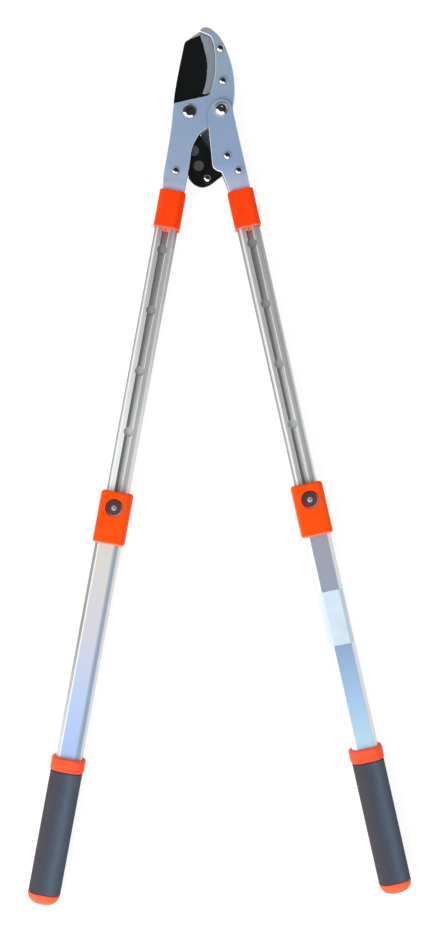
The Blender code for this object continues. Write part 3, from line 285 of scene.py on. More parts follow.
def ease_edges(thing, width, least_angle, steps=2, edge_material=-1):
    bevel = thing.modifiers.new("eased edges", "BEVEL")
    bevel.width = width
    bevel.segments = steps
    bevel.limit_method = "ANGLE"
    bevel.angle_limit = math.radians(least_angle)
    bevel.material = edge_material
    bevel.use_clamp_overlap = True
    bevel.miter_outer = "MITER_ARC"


def shade(mesh, sharp_angle):
    mesh.shade_smooth()
    mesh.set_sharp_from_angle(angle=math.radians(sharp_angle))


def keep_faces_flat(thing):
    """Large faces keep their own normals, and the eased edges take up the turn."""
    weighted = thing.modifiers.new("flat faces", "WEIGHTED_NORMAL")
    weighted.keep_sharp = True
    weighted.weight = 80


def store_own_place(mesh, to_own):
    """Keeps each point's place in the piece's own frame, for patterns that run along the piece."""
    attribute = mesh.attributes.new("own_place", "FLOAT_VECTOR", "POINT")
    for item, vert in zip(attribute.data, mesh.vertices):
        item.vector = to_own @ vert.co


def add_finishes(thing, *finishes):
    for finish in finishes:
        thing.data.materials.append(finish)


def settle(thing, body, nodes, own_frame=None):
    """Hangs a finished piece on its body, keeps its own-frame places and hides the CAD nodes it stands
    for.
    """
    store_own_place(thing.data, (own_frame or Matrix.Identity(4)).inverted())
    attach(thing, body)
    if nodes:
        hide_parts(*nodes)


def eased_node(node, body, slot, finishes, width, least_angle, own_frame=None, **bevel):
    """A CAD node again, with its sharp edges eased."""
    thing = object_from(merged_copy(node), node + "_eased")
    shade(thing.data, 35.0)
    add_finishes(thing, *finishes)
    ease_edges(thing, width, least_angle, **bevel)
    keep_faces_flat(thing)
    made_plain(thing)
    settle(thing, body, [node], own_frame)
    return thing


def lay_on_handle(thing, side, finish, nodes, sharp_angle):
    """Lays a piece of the sliding part, drawn in the handle's own frame, on its handle."""
    matrix = handle_matrix(side)
    shade(thing.data, sharp_angle)
    add_finishes(thing, finish)
    thing.data.transform(matrix)
    settle(thing, side + "_slider", nodes, matrix)


# Helpers for sections, lofts and turned shapes


def oval(half_w, half_t):
    """A squarish oval, cut flat at its front and back, counter-clockwise."""
    points = []
    for i in range(OVAL_SIDES):
        angle = 2 * math.pi * (i + 0.5) / OVAL_SIDES
        c, s = math.cos(angle), math.sin(angle)
        x = math.copysign(abs(c) ** (2 / OVAL_POWER), c) * half_w
        z = math.copysign(abs(s) ** (2 / OVAL_POWER), s) * (half_t + OVAL_FLAT)
        points.append((x, max(min(z, half_t), -half_t)))
    return points


def tube_outline(grown):
    """The outer tube's eight-sided section, moved out by the same amount all round."""
    half_w, half_t = TUBE_HALF[0] + grown, TUBE_HALF[1] + grown
    front, side = (half + grown * TUBE_CORNER_SHARE for half in (TUBE_FRONT_HALF, TUBE_SIDE_HALF))
    return [
        (half_w, -side), (half_w, side), (front, half_t), (-front, half_t),
        (-half_w, side), (-half_w, -side), (-front, -half_t), (front, -half_t),
    ]


def tube_outline_as_oval(grown):
    """The same section as a loop with as many points as an oval, each on the ray of its partner."""
    corners = tube_outline(grown)
    points = []
    for x, z in oval(1.0, 1.0):
        reaches = []
        for (ax, az), (bx, bz) in zip(corners, corners[1:] + corners[:1]):
            towards = x * (bz - az) + z * (ax - bx)
            if towards > 0.0:
                reaches.append((ax * (bz - az) + az * (ax - bx)) / towards)
        points.append((x * min(reaches), z * min(reaches)))
    return points


def rounding_at(from_end, radius):
    """How far a corner of the given radius has cut in, this far from the end."""
    if from_end >= radius:
        return 0.0
    return radius - math.sqrt(max(radius ** 2 - (radius - from_end) ** 2, 0.0))


def skin(bm, rows, closed):
    """Joins rows of points by rings of faces; a row at a pole is one point, repeated."""
    for low, high in zip(rows, rows[1:] + rows[:1] if closed else rows[1:]):
        for i in range(len(low)):
            j = (i + 1) % len(low)
            bm.faces.new(list(dict.fromkeys((low[i], low[j], high[j], high[i]))))


def band(stations, closed):
    """A skin over (depth, section) stations, closed on itself or by a flat face at each end."""
    bm = bmesh.new()
    rows = [[bm.verts.new((x, -depth, z)) for x, z in section] for depth, section in stations]
    skin(bm, rows, closed)
    if not closed:
        bm.faces.new(rows[0])
        bm.faces.new(rows[-1])
    bmesh.ops.recalc_face_normals(bm, faces=bm.faces)
    return bm


def turned_piece(node, kind, rings, sides, finish, body, sharp_angle=30.0, own_frame=None):
    """Stands for a node: (radius, height) points turned about its middle, with poles or a bore."""
    bm = bmesh.new()
    rows = []
    for radius, height in rings:
        if radius == 0.0:
            rows.append([bm.verts.new((0.0, 0.0, height))] * sides)
            continue
        angles = [2 * math.pi * i / sides for i in range(sides)]
        rows.append([
            bm.verts.new((radius * math.cos(a), radius * math.sin(a), height)) for a in angles])
    skin(bm, rows, rings[0][0] > 0.0 and rings[-1][0] > 0.0)
    bmesh.ops.recalc_face_normals(bm, faces=bm.faces)
    thing = object_from(bm, node + kind)
    shade(thing.data, sharp_angle)
    thing.data.transform(Matrix.Translation(box_centre(node)))
    add_finishes(thing, finish)
    settle(thing, body, [node], own_frame)


# Helpers for node trees


def add_node(tree, kind, inputs=None, **settings):
    """Adds a node; each input is set to a value, or linked when it is given as a socket."""
    node = tree.nodes.new(kind)
    for key, value in settings.items():
        setattr(node, key, value)
    for key, value in (inputs or {}).items():
        socket = node.inputs[key]
        if isinstance(value, bpy.types.NodeSocket):
            tree.links.new(value, socket)
        else:
            socket.default_value = value
    return node


def maths(tree, operation, first, second):
    return add_node(tree, "ShaderNodeMath", {0: first, 1: second}, operation=operation).outputs[0]


def plus(tree, first, second):
    return maths(tree, "ADD", first, second)


def times(tree, first, second):
    return maths(tree, "MULTIPLY", first, second)


def split(tree, vector):
    return add_node(tree, "ShaderNodeSeparateXYZ", {0: vector}).outputs


def joined(tree, x, y, z):
    return add_node(tree, "ShaderNodeCombineXYZ", {0: x, 1: y, 2: z}).outputs[0]


def reach_of(tree, vector):
    return add_node(tree, "ShaderNodeVectorMath", {0: vector}, operation="LENGTH").outputs["Value"]


def new_tree(name, sizes):
    """An empty geometry tree with one geometry input, a material input and the named sizes."""
    tree = bpy.data.node_groups.new(name, "GeometryNodeTree")
    face = tree.interface
    face.new_socket("Geometry", in_out="INPUT", socket_type="NodeSocketGeometry")
    for size, value in sizes.items():
        kind = "NodeSocketInt" if isinstance(value, int) else "NodeSocketFloat"
        face.new_socket(size, in_out="INPUT", socket_type=kind).default_value = value
    face.new_socket("Finish", in_out="INPUT", socket_type="NodeSocketMaterial")
    face.new_socket("Geometry", in_out="OUTPUT", socket_type="NodeSocketGeometry")
    return tree, tree.nodes.new("NodeGroupInput").outputs


def end_tree(tree, given, shape):
    """Puts the shape on each given point, turned at random, and gives it its finish."""
    turn = add_node(tree, "FunctionNodeRandomValue", {3: math.pi / 3, "Seed": SEED}, data_type="FLOAT")
    copies = add_node(tree, "GeometryNodeInstanceOnPoints", {
        "Points": given["Geometry"], "Instance": shape,
        "Rotation": joined(tree, 0.0, 0.0, turn.outputs[1])}).outputs[0]
    realized = add_node(tree, "GeometryNodeRealizeInstances", {"Geometry": copies}).outputs[0]
    painted = add_node(tree, "GeometryNodeSetMaterial", {
        "Geometry": realized, "Material": given["Finish"]}).outputs[0]
    add_node(tree, "NodeGroupOutput", {"Geometry": painted})
    return tree


def fasteners(name, tree, points, sizes, finish, body, nodes, sharp_angle=35.0):
    """Stands for some nodes: a geometry tree run on a few points, as one plain piece."""
    mesh = bpy.data.meshes.new(name)
    mesh.from_pydata([tuple(p) for p in points], [], [])
    thing = add_object(name, mesh)
    modifier = thing.modifiers.new(tree.name, "NODES")
    modifier.node_group = tree
    names = {item.name: item.identifier for item in tree.interface.items_tree if item.in_out == "INPUT"}
    for size, value in (sizes | {"Finish": finish}).items():
        modifier[names[size]] = value
    made_plain(thing)
    shade(thing.data, sharp_angle)
    settle(thing, body, nodes)
    return thing


def profile_curve(tree, shares, along):
    """A float curve that runs straight through (place, share) points."""
    node = add_node(tree, "ShaderNodeFloatCurve", {"Value": along})
    curve = node.mapping.curves[0]
    node.mapping.use_clip = False
    while len(curve.points) < len(shares):
        curve.points.new(0.5, 0.5)
    for point, (place, share) in zip(curve.points, shares):
        point.location = (place, share)
        point.handle_type = "VECTOR"
    node.mapping.update()
    return node.outputs[0]


def turned_geometry(tree, profile, sides, radius, height):
    """A turned solid: the profile lists (share of the radius, share of the height), bottom first."""
    steps = len(profile) - 1
    rod = add_node(tree, "GeometryNodeMeshCylinder", {
        "Vertices": sides, "Side Segments": steps, "Radius": 1.0, "Depth": 1.0}, fill_type="NGON")
    x, y, z = split(tree, add_node(tree, "GeometryNodeInputPosition").outputs[0])
    along = plus(tree, z, 0.5)
    across = profile_curve(tree, [(i / steps, r) for i, (r, _) in enumerate(profile)], along)
    up = profile_curve(tree, [(i / steps, h) for i, (_, h) in enumerate(profile)], along)
    reach = times(tree, across, radius)
    where = joined(tree, times(tree, x, reach), times(tree, y, reach), times(tree, up, height))
    return add_node(tree, "GeometryNodeSetPosition", {
        "Geometry": rod.outputs["Mesh"], "Position": where}).outputs[0]


def lifted(tree, geometry, height):
    return add_node(tree, "GeometryNodeTransform", {
        "Geometry": geometry, "Translation": joined(tree, 0.0, 0.0, height)}).outputs[0]


def prism(tree, sides, radius, height, base):
    """A plain prism standing on base, used to cut sockets and bores and to form flats."""
    rod = add_node(tree, "GeometryNodeMeshCylinder", {
        "Vertices": sides, "Radius": radius, "Depth": height}, fill_type="NGON")
    return lifted(tree, rod.outputs["Mesh"], plus(tree, base, times(tree, height, 0.5)))


def combined(tree, operation, first, *others):
    node = add_node(tree, "GeometryNodeMeshBoolean", operation=operation)
    tree.links.new(first, node.inputs["Mesh 1" if operation == "DIFFERENCE" else "Mesh 2"])
    for other in others:
        tree.links.new(other, node.inputs["Mesh 2"])
    return node.outputs[0]


# Helpers for finishes


def new_finish(name, metallic=0.0, specular=0.5):
    """A material with its shader's plain values set on the shader's own sockets."""
    material = bpy.data.materials.new(name)
    material.use_nodes = True
    shader = material.node_tree.nodes["Principled BSDF"]
    shader.inputs["Metallic"].default_value = metallic
    shader.inputs["Specular IOR Level"].default_value = specular
    return material, material.node_tree


def end_finish(material, colour, roughness, height, depth, strength=0.5):
    """Links what changes over the surface to the shader: colour, roughness and the bump's height."""
    tree = material.node_tree
    shader = tree.nodes["Principled BSDF"]
    bump = add_node(tree, "ShaderNodeBump", {"Height": height, "Distance": depth, "Strength": strength})
    for name, value in (("Base Color", colour), ("Roughness", roughness), ("Normal", bump.outputs[0])):
        tree.links.new(value, shader.inputs[name])
    return material


def own_place(tree):
    return add_node(tree, "ShaderNodeAttribute", attribute_name="own_place").outputs["Vector"]


def place_on(tree, own=False, stretch=(1.0, 1.0, 1.0)):
    """Coordinates in metres: the object's, or the piece's own frame where a pattern runs along it."""
    source = own_place(tree) if own else add_node(tree, "ShaderNodeTexCoord").outputs["Object"]
    return add_node(tree, "ShaderNodeMapping", {"Vector": source, "Scale": stretch}).outputs[0]


def place_on_handle(tree):
    """Where a point is across its handle, down it and up from its middle plane."""
    across, back, up = split(tree, own_place(tree))
    return across, times(tree, back, -1.0), up


def noise(tree, place, size, detail=3.0, rough=0.55):
    """Noise whose blotches are about the given size in metres."""
    return add_node(tree, "ShaderNodeTexNoise", {
        "Vector": place, "Scale": 1.0 / size, "Detail": detail, "Roughness": rough}).outputs["Fac"]


def ramp(tree, factor, *stops):
    """A colour ramp through (place, colour) stops; a single number is a grey."""
    node = add_node(tree, "ShaderNodeValToRGB", {"Fac": factor})
    elements = node.color_ramp.elements
    while len(elements) < len(stops):
        elements.new(0.5)
    for element, (place, colour) in zip(elements, stops):
        element.position = place
        element.color = (*(colour if isinstance(colour, tuple) else (colour,) * 3), 1.0)
    return node.outputs["Color"]


def spread(tree, factor, low, high, from_low=0.3, from_high=0.7):
    """Spreads a range, by default the middle of a noise, over low to high, and holds it there."""
    return add_node(tree, "ShaderNodeMapRange", {
        "Value": factor, "From Min": from_low, "From Max": from_high,
        "To Min": low, "To Max": high}).outputs[0]


def rise(tree, value, start, end):
    """0 up to start, then rising to 1 at end; the start may be the greater of the two."""
    return spread(tree, value, 0.0, 1.0, start, end)


def blended(tree, factor, first, second, mode="MIX"):
    node = add_node(tree, "ShaderNodeMix", data_type="RGBA", blend_type=mode)
    for socket, value in ((node.inputs[0], factor), (node.inputs[6], first), (node.inputs[7], second)):
        if isinstance(value, bpy.types.NodeSocket):
            tree.links.new(value, socket)
        else:
            socket.default_value = (*value, 1.0)
    return node.outputs[2]


# Finishes


def plate_tones_and_light(tree, place, colour):
    """The plates' changes of tone, with painted shade to the right and a painted reflection near the
    sleeves, and a paler ring round the main pivot, painted as a highlight, clearest at lower left.
    """
    x, y, _ = split(tree, place)
    for axis, start, end, tone, mode in PLATE_TONES_AND_LIGHT:
        colour = blended(tree, rise(tree, (x, y)[axis], start, end), colour, tone, mode)
    # painted highlight: a paler, greyer ring round the main pivot's flange, strongest at lower left,
    # where the light falls
    reach = reach_of(tree, place_on(tree, stretch=(1.0, 1.0, 0.0)))
    share = spread(tree, plus(tree, x, y), 0.65, 0.2, -0.008, 0.008)
    return blended(tree, times(tree, rise(tree, reach, *RING_HIGHLIGHT_REACH), share), colour, RING_HIGHLIGHT_TONE)


def painted_steel(name, light, dark, roughness, metallic=0.0, specular=0.3, toned_and_lit=False):
    """A sprayed coat: faint cloudiness, fine orange peel and a few paler rubbed specks."""
    material, tree = new_finish(name, metallic, specular)
    place = place_on(tree)
    colour = ramp(tree, noise(tree, place, 0.045, 4.0), (0.35, dark), (0.65, light))
    grain = noise(tree, place, 0.0009, 2.0)
    colour = blended(tree, spread(tree, grain, 0.0, 0.16, 0.35, 0.75), colour, light)
    # the plates' tones, with painted shade, a painted reflection and a painted highlight ring
    if toned_and_lit:
        colour = plate_tones_and_light(tree, place, colour)
    rub = spread(tree, noise(tree, place, 0.012, 5.0, 0.7), -0.05, 0.07)
    peel = plus(tree, grain, noise(tree, place, 0.004, 1.0))
    return end_finish(material, colour, plus(tree, roughness, rub), peel, 0.00003)


def drawn_metal(name, light, dark, roughness, grain_size, own=True, along=(1.0, 0.02, 1.0),
                metallic=0.5):
    """Drawn or ground metal: fine lines along the piece, with a soft change of tone across it."""
    material, tree = new_finish(name, metallic)
    lines = noise(tree, place_on(tree, own, along), grain_size, 4.0, 0.6)
    tone = noise(tree, place_on(tree, own, (1.0, 0.25, 1.0)), 0.02, 3.0)
    both = plus(tree, times(tree, lines, 0.6), times(tree, tone, 0.4))
    colour = ramp(tree, both, (0.38, dark), (0.62, light))
    rough = spread(tree, lines, roughness - 0.06, roughness + 0.08)
    return end_finish(material, colour, rough, lines, 0.000006)


def polished_metal(name, colour, roughness):
    """Plated metal with a faint haze and fine wipe marks."""
    material, tree = new_finish(name, metallic=1.0)
    haze = noise(tree, place_on(tree), 0.003, 4.0, 0.6)
    hazy = tuple(c * 0.82 for c in colour)
    wipes = noise(tree, place_on(tree, stretch=(1.0, 0.15, 1.0)), 0.0006, 2.0)
    return end_finish(material, ramp(tree, haze, (0.35, hazy), (0.6, colour)),
                      spread(tree, haze, roughness, roughness + 0.10), wipes, 0.000004)


def moulded_plastic(name, light, dark, roughness, texture=0.00002, own=True, highlight_end=None):
    """Moulded plastic: fine spark-eroded texture, slightly cloudy colour, rubbed shine here and there.

    highlight_end lists where a painted highlight on the lower rim starts down the handle, where it is
    full, and its tone.
    """
    material, tree = new_finish(name, specular=0.12)
    place = place_on(tree, own)
    colour = ramp(tree, noise(tree, place, 0.02, 3.0), (0.3, dark), (0.7, light))
    # painted highlight along the piece's lower rim
    if highlight_end:
        start, end, pale = highlight_end
        _, down, _ = place_on_handle(tree)
        colour = blended(tree, rise(tree, down, start, end), colour, pale)
    rub = spread(tree, noise(tree, place, 0.008, 4.0, 0.65), -0.05, 0.06)
    grain = noise(tree, place, 0.0005, 2.0, 0.5)
    return end_finish(material, colour, plus(tree, roughness, rub), grain, texture, 0.6)


def button_plastic(name):
    """The lock buttons: dark plastic, paler towards the foot, where the raised rim has a painted
    highlight.
    """
    material, tree = new_finish(name, specular=0.12)
    place = place_on(tree, True)
    across, down, _ = place_on_handle(tree)
    above = maths(tree, "SUBTRACT", BUTTON_DOWN, down)
    cloud = plus(tree, above, spread(tree, noise(tree, place, 0.006, 3.0), -0.001, 0.001))
    colour = ramp(tree, rise(tree, cloud, -BUTTON_R, BUTTON_R),
                  (0.1, (0.125, 0.058, 0.070)), (0.5, (0.095, 0.046, 0.052)),
                  (0.9, (0.075, 0.038, 0.040)))
    # painted highlight on the rim, at the lower right where the light falls
    rim = rise(tree, reach_of(tree, joined(tree, across, above, 0.0)), *BUTTON_RIM_HIGHLIGHT)
    lit_side = rise(tree, maths(tree, "SUBTRACT", across, above), 0.001, 0.012)
    colour = blended(tree, times(tree, rim, lit_side), colour, (0.58, 0.27, 0.28))
    grain = noise(tree, place, 0.0005, 2.0, 0.5)
    return end_finish(material, colour, spread(tree, grain, 0.17, 0.23), grain, 0.000004, 0.6)


def anodised_tube(name, tones, bright, dull):
    """The outer tubes: a satin skin whose tone changes down the tube and across its faces, as painted
    reflections.

    tones run from the collar to the grip; bright and dull say where across the tube it takes a painted
    highlight or a painted reflection.
    """
    material, tree = new_finish(name, metallic=0.15, specular=0.3)
    x, down, _ = place_on_handle(tree)
    across = rise(tree, x, -TUBE_HALF[0], TUBE_HALF[0])
    # painted reflection: the tone changes down the tube
    colour = ramp(tree, rise(tree, down, *OUTER_REFLECTION_SPAN), *tones)
    # painted highlight on the pale faces
    colour = blended(tree, ramp(tree, across, *bright), colour, (0.88, 0.88, 0.90))
    # painted reflections on the faces: grey-brown at left, blue-grey at right, the left ones paler
    # further down
    facet = ramp(tree, across, (0.40, (0.30, 0.28, 0.25)), (0.60, (0.34, 0.42, 0.52)))
    paler = blended(tree, rise(tree, down, *LEFT_FACES_PALE), facet, (0.66, 0.68, 0.74))
    facet = blended(tree, rise(tree, x, 0.002, -0.002), facet, paler)
    colour = blended(tree, ramp(tree, across, *dull), colour, facet)
    lines = noise(tree, place_on(tree, True, (1.0, 0.015, 1.0)), 0.0006, 4.0, 0.6)
    colour = blended(tree, spread(tree, lines, 0.0, 0.06), colour, (0.50, 0.53, 0.60))
    return end_finish(material, colour, spread(tree, lines, 0.30, 0.42), lines, 0.000008)


def grooved_tube(name, tones, ridge_highlight):
    """The inner tubes: bright drawn metal, with painted shade in the groove and its pockets, painted
    highlights on the lit faces, and near the sleeve its painted reflection in the groove and its
    painted shadow.

    ridge_highlight is how far the ridge left of the groove turns white on its way down, a painted
    highlight.
    """
    material, tree = new_finish(name, metallic=0.20, specular=0.4)
    x, down, up = place_on_handle(tree)
    lines = noise(tree, place_on(tree, True, (1.0, 0.012, 1.0)), 0.0012, 3.0, 0.5)
    across = plus(tree, x, spread(tree, lines, -0.0004, 0.0004))
    # painted light and shade across the ridges: near white on the lit faces
    ridges = ramp(tree, rise(tree, across, -INNER_HALF, INNER_HALF), *tones)
    tone = noise(tree, place_on(tree, True, (1.0, 0.12, 1.0)), 0.012, 2.0)
    ridges = blended(tree, spread(tree, tone, 0.0, 0.25), ridges, (0.74, 0.76, 0.76))
    # painted highlight: the ridge left of the groove turns white further down
    white = times(tree, spread(tree, down, 0.0, ridge_highlight, *RIDGE_HIGHLIGHT_SPAN), rise(tree, x, 0.002, -0.003))
    ridges = blended(tree, white, ridges, (0.95, 0.96, 0.95))
    # painted shade in the groove, paler on its lit wall
    groove = rise(tree, across, -GROOVE_HALF, GROOVE_HALF)
    lower = rise(tree, down, *GROOVE_TURNS)
    floor = blended(tree, lower, ramp(tree, groove, *GROOVE_SHADE_HIGH), ramp(tree, groove, *GROOVE_SHADE_LOW))
    # painted reflection of the orange sleeve in the groove and the sleeve's painted shadow on the
    # ridges
    sleeve_reflection_and_shadow = rise(tree, down, *SLEEVE_REFLECTION_SPAN)
    floor = blended(tree, sleeve_reflection_and_shadow, floor, (0.40, 0.16, 0.18))
    ridges = blended(tree, sleeve_reflection_and_shadow, ridges, (0.82, 0.74, 0.73), "MULTIPLY")
    height = maths(tree, "MAXIMUM", up, times(tree, up, -2.0))
    colour = blended(tree, rise(tree, height, *GROOVE_FLOOR), ridges, floor)
    # painted shade in the pockets, lighter further down
    pocket = blended(tree, lower, (0.42, 0.43, 0.45), (0.70, 0.71, 0.72))
    colour = blended(tree, rise(tree, height, *POCKET_FLOOR), colour, pocket)
    return end_finish(material, colour, spread(tree, lines, 0.24, 0.34), lines, 0.000005)


def foam_rubber(name):
    """The grips: dull rubber foam with fine pores, a little greyer where hands rub it."""
    material, tree = new_finish(name, specular=0.3)
    place = place_on(tree, True)
    pores = add_node(tree, "ShaderNodeTexVoronoi", {
        "Vector": place, "Scale": 1600.0}).outputs["Distance"]
    cloud = noise(tree, place, 0.018, 4.0)
    x, _, _ = place_on_handle(tree)
    across = plus(tree, x, spread(tree, cloud, -0.0015, 0.0015))
    colour = ramp(tree, rise(tree, across, -GRIP_HALF[0], GRIP_HALF[0]),
                  (0.0, (0.063, 0.055, 0.060)), (0.34, (0.057, 0.059, 0.078)),
                  (0.52, (0.060, 0.078, 0.112)), (0.70, (0.088, 0.119, 0.162)),
                  (1.0, (0.058, 0.073, 0.100)))
    colour = blended(tree, spread(tree, cloud, 0.0, 0.2), colour, (0.09, 0.10, 0.12))
    colour = blended(tree, spread(tree, pores, 0.30, 0.0, 0.0, 0.4), colour, (0.05, 0.055, 0.068))
    surface = plus(tree, pores, noise(tree, place, 0.0015))
    return end_finish(material, colour, spread(tree, cloud, 0.78, 0.92), surface, 0.00006, 0.6)


def paper_label(name):
    """The bare label: matt pale paper with a faint fibre and slightly grubby patches."""
    material, tree = new_finish(name, specular=0.3)
    fibre = noise(tree, place_on(tree, True, (1.0, 0.4, 1.0)), 0.0004, 3.0)
    patches = noise(tree, place_on(tree, True), 0.015)
    colour = ramp(tree, patches, (0.3, (0.59, 0.71, 0.81)), (0.7, (0.65, 0.78, 0.88)))
    colour = blended(tree, spread(tree, fibre, 0.0, 0.08), colour, (0.48, 0.56, 0.65))
    return end_finish(material, colour, spread(tree, fibre, 0.55, 0.7), fibre, 0.00001, 0.4)


PLATE = painted_steel("blue_grey_coat", (0.300, 0.392, 0.545), (0.272, 0.362, 0.510), 0.42, toned_and_lit=True)
# The plates' eased edges: a near-white coat, a painted highlight where the edges catch the light
PLATE_EDGE_HIGHLIGHT = painted_steel(
    "blue_grey_coat_edge_highlight", (0.96, 0.98, 1.0), (0.84, 0.88, 0.94), 0.25, 0.35)
# The back arm plate's faces under the front plate: a darker coat, painted shade
SHADED_COAT = painted_steel(
    "painted_shade_inner_coat", (0.140, 0.148, 0.180), (0.105, 0.112, 0.140), 0.50, specular=0.2)
BLACK_COAT = painted_steel(
    "black_blade_coat", (0.0085, 0.0095, 0.0105), (0.0066, 0.0072, 0.0080), 0.34, specular=0.2)
LINK_COAT = painted_steel(
    "black_link_coat", (0.0125, 0.0118, 0.0150), (0.0090, 0.0086, 0.0112), 0.34, specular=0.2)
GROUND = drawn_metal(
    "ground_bevel", (0.44, 0.49, 0.56), (0.32, 0.36, 0.42), 0.40, 0.0006, False, (0.05, 1.0, 1.0), 0.3)
# The blade tip's ground faces: bare steel painted tan, a painted reflection of the floor
TIP_TAN_REFLECTION = drawn_metal(
    "tip_tan_reflection", (0.66, 0.58, 0.49), (0.46, 0.40, 0.33), 0.40, 0.0006, False, (1.0, 0.06, 1.0), 0.3)
BARE_LINE = polished_metal("bare_edge_line", (0.80, 0.82, 0.85), 0.22)
ANVIL = drawn_metal("anvil_metal_worked", (0.20, 0.20, 0.20), (0.13, 0.13, 0.13), 0.38, 0.0007, False)
CHROME = polished_metal("polished_chrome", (0.80, 0.81, 0.84), 0.05)
ZINC = polished_metal("zinc_plate", (0.56, 0.57, 0.60), 0.28)
TANG = drawn_metal("tang_steel_drawn", (0.40, 0.41, 0.43), (0.28, 0.29, 0.31), 0.42, 0.0008)
FLANGE = painted_steel("satin_flange", (0.23, 0.27, 0.33), (0.19, 0.23, 0.29), 0.30, 0.2)
SATIN_SCREW = painted_steel("satin_screw", (0.52, 0.51, 0.52), (0.44, 0.43, 0.44), 0.35, 0.4)
SPRING_WIRE = polished_metal("spring_wire", (0.50, 0.50, 0.52), 0.25)

# Inner tubes: painted light and shade across the left ridge and the groove's rims, near white on the
# lit faces, which both tubes share, then across the right ridge, and painted shade across the groove's
# floor, paler on its lit wall, at its upper and its lower end
SHARED_RIDGE_LIGHT = (
    (0.0, 1.0), (0.13, (1.0, 0.99, 0.98)), (0.19, (0.50, 0.50, 0.49)), (0.30, (0.44, 0.44, 0.43)),
    (0.36, (0.62, 0.62, 0.61)), (0.66, (1.0, 1.0, 0.99)), (0.69, (0.38, 0.38, 0.37)),
)
RIGHT_RIDGE_LIGHT = {
    "left": ((0.83, 0.40), (0.91, 0.90), (1.0, 1.0)),
    "right": ((0.78, 0.38), (0.85, 0.24), (0.91, 0.30), (0.97, 0.95), (1.0, 1.0)),
}
GROOVE_SHADE_HIGH = (
    (0.0, (0.30, 0.29, 0.28)), (0.45, (0.26, 0.26, 0.27)), (0.75, (0.31, 0.31, 0.32)),
    (1.0, (0.46, 0.45, 0.45)),
)
GROOVE_SHADE_LOW = (
    (0.0, (0.30, 0.31, 0.32)), (0.30, (0.22, 0.23, 0.24)), (0.60, (0.52, 0.53, 0.53)),
    (1.0, (0.86, 0.86, 0.85)),
)
# How far each inner tube's left ridge takes its painted highlight
RIDGE_HIGHLIGHT_SHARE = {"left": 1.0, "right": 0.0}
BRIGHT_TUBES = {
    side: grooved_tube("bright_tube_" + side, (*SHARED_RIDGE_LIGHT, *RIGHT_RIDGE_LIGHT[side]), RIDGE_HIGHLIGHT_SHARE[side])
    for side in HANDLES}

# Outer tubes: tones from the collar to the grip, a painted reflection, and across them how pale and how
# dull
# they are: painted highlights and the faces' painted reflections
SATIN_TUBES = {
    "left": anodised_tube(
        "satin_tube_left",
        ((0.10, (0.75, 0.72, 0.68)), (0.45, (0.69, 0.68, 0.77)), (0.72, (0.52, 0.65, 0.95)),
         (0.92, (0.44, 0.59, 0.92))),
        ((0.125, 0.0), (0.14, 1.0), (0.165, 1.0), (0.18, 0.0), (0.92, 0.0), (0.97, 1.0), (1.0, 0.5)),
        ((0.0, 1.0), (0.11, 1.0), (0.13, 0.0), (0.72, 0.0), (0.80, 1.0), (0.89, 1.0), (0.94, 0.0))),
    "right": anodised_tube(
        "satin_tube_right",
        ((0.10, (0.380, 0.388, 0.470)), (0.30, (0.34, 0.40, 0.52)), (0.50, (0.30, 0.44, 0.65)),
         (0.73, (0.40, 0.60, 0.87)), (0.95, (0.52, 0.77, 0.95))),
        ((0.0, 0.5), (0.02, 1.0), (0.16, 1.0), (0.18, 0.0), (0.82, 0.0), (0.88, 1.0), (0.98, 1.0),
         (1.0, 0.5)),
        ((0.98, 0.0), (1.0, 0.5))),
}

SLEEVE_PLASTIC = moulded_plastic(
    "sleeve_plastic", (1.0, 0.058, 0.0), (0.94, 0.046, 0.0), 0.46,
    highlight_end=(0.0406, 0.0434, (0.92, 0.21, 0.14)))
COLLAR_PLASTIC = moulded_plastic(
    "collar_plastic", (1.0, 0.084, 0.002), (0.95, 0.068, 0.001), 0.42,
    highlight_end=(0.3976, 0.3994, (1.0, 0.28, 0.14)))
CAP_PLASTIC = moulded_plastic("cap_plastic", (1.0, 0.145, 0.066), (0.95, 0.125, 0.056), 0.42)
GRIP_PLASTIC = moulded_plastic("grip_ring_plastic", (1.0, 0.112, 0.042), (0.95, 0.094, 0.034), 0.42)
PAD_PLASTIC = moulded_plastic(
    "glide_pad_plastic", (0.072, 0.072, 0.073), (0.058, 0.058, 0.059), 0.60, 0.00001, own=False)
BUSH_PLASTIC = moulded_plastic(
    "guide_bush_plastic", (0.022, 0.022, 0.024), (0.016, 0.016, 0.018), 0.5, own=False)
BUTTON_PLASTIC = button_plastic("button_plastic_dark")
GRIP_FOAM = foam_rubber("ribbed_grip_foam")
LABEL = paper_label("bare_paper_label")


# Head


def paint_blade(mesh):
    """Ground faces lean from the blade's flat; those at its very tip show a painted tan reflection of
    the floor.
    """
    for face in mesh.polygons:
        tilt, centre = abs(face.normal.z), face.center
        edge = tilt < UPRIGHT_TILT and centre.x > EDGE_CORNER[0] and centre.y > EDGE_CORNER[1]
        tan = centre.x < TAN_CORNER[0] and centre.y > TAN_CORNER[1]
        face.material_index = COAT
        if edge or UPRIGHT_TILT < tilt < FLAT_TILT:
            face.material_index = TIP if tan else BEVEL


def make_blade():
    """The blade with its black coat, its ground bevel and the bright line where the coat ends."""
    thing = object_from(merged_copy("blade"), "blade_ground")
    paint_blade(thing.data)
    shade(thing.data, 6.0)
    ease_edges(thing, BLADE_EASE, 7.0, 1, LINE)
    keep_faces_flat(thing)
    made_plain(thing)
    add_finishes(thing, BLACK_COAT, GROUND, TIP_TAN_REFLECTION, BARE_LINE)
    for face in thing.data.polygons:
        if face.material_index == LINE and abs(face.normal.z) < LINE_TILT:
            face.material_index = COAT
    settle(thing, "blade", ["blade"])


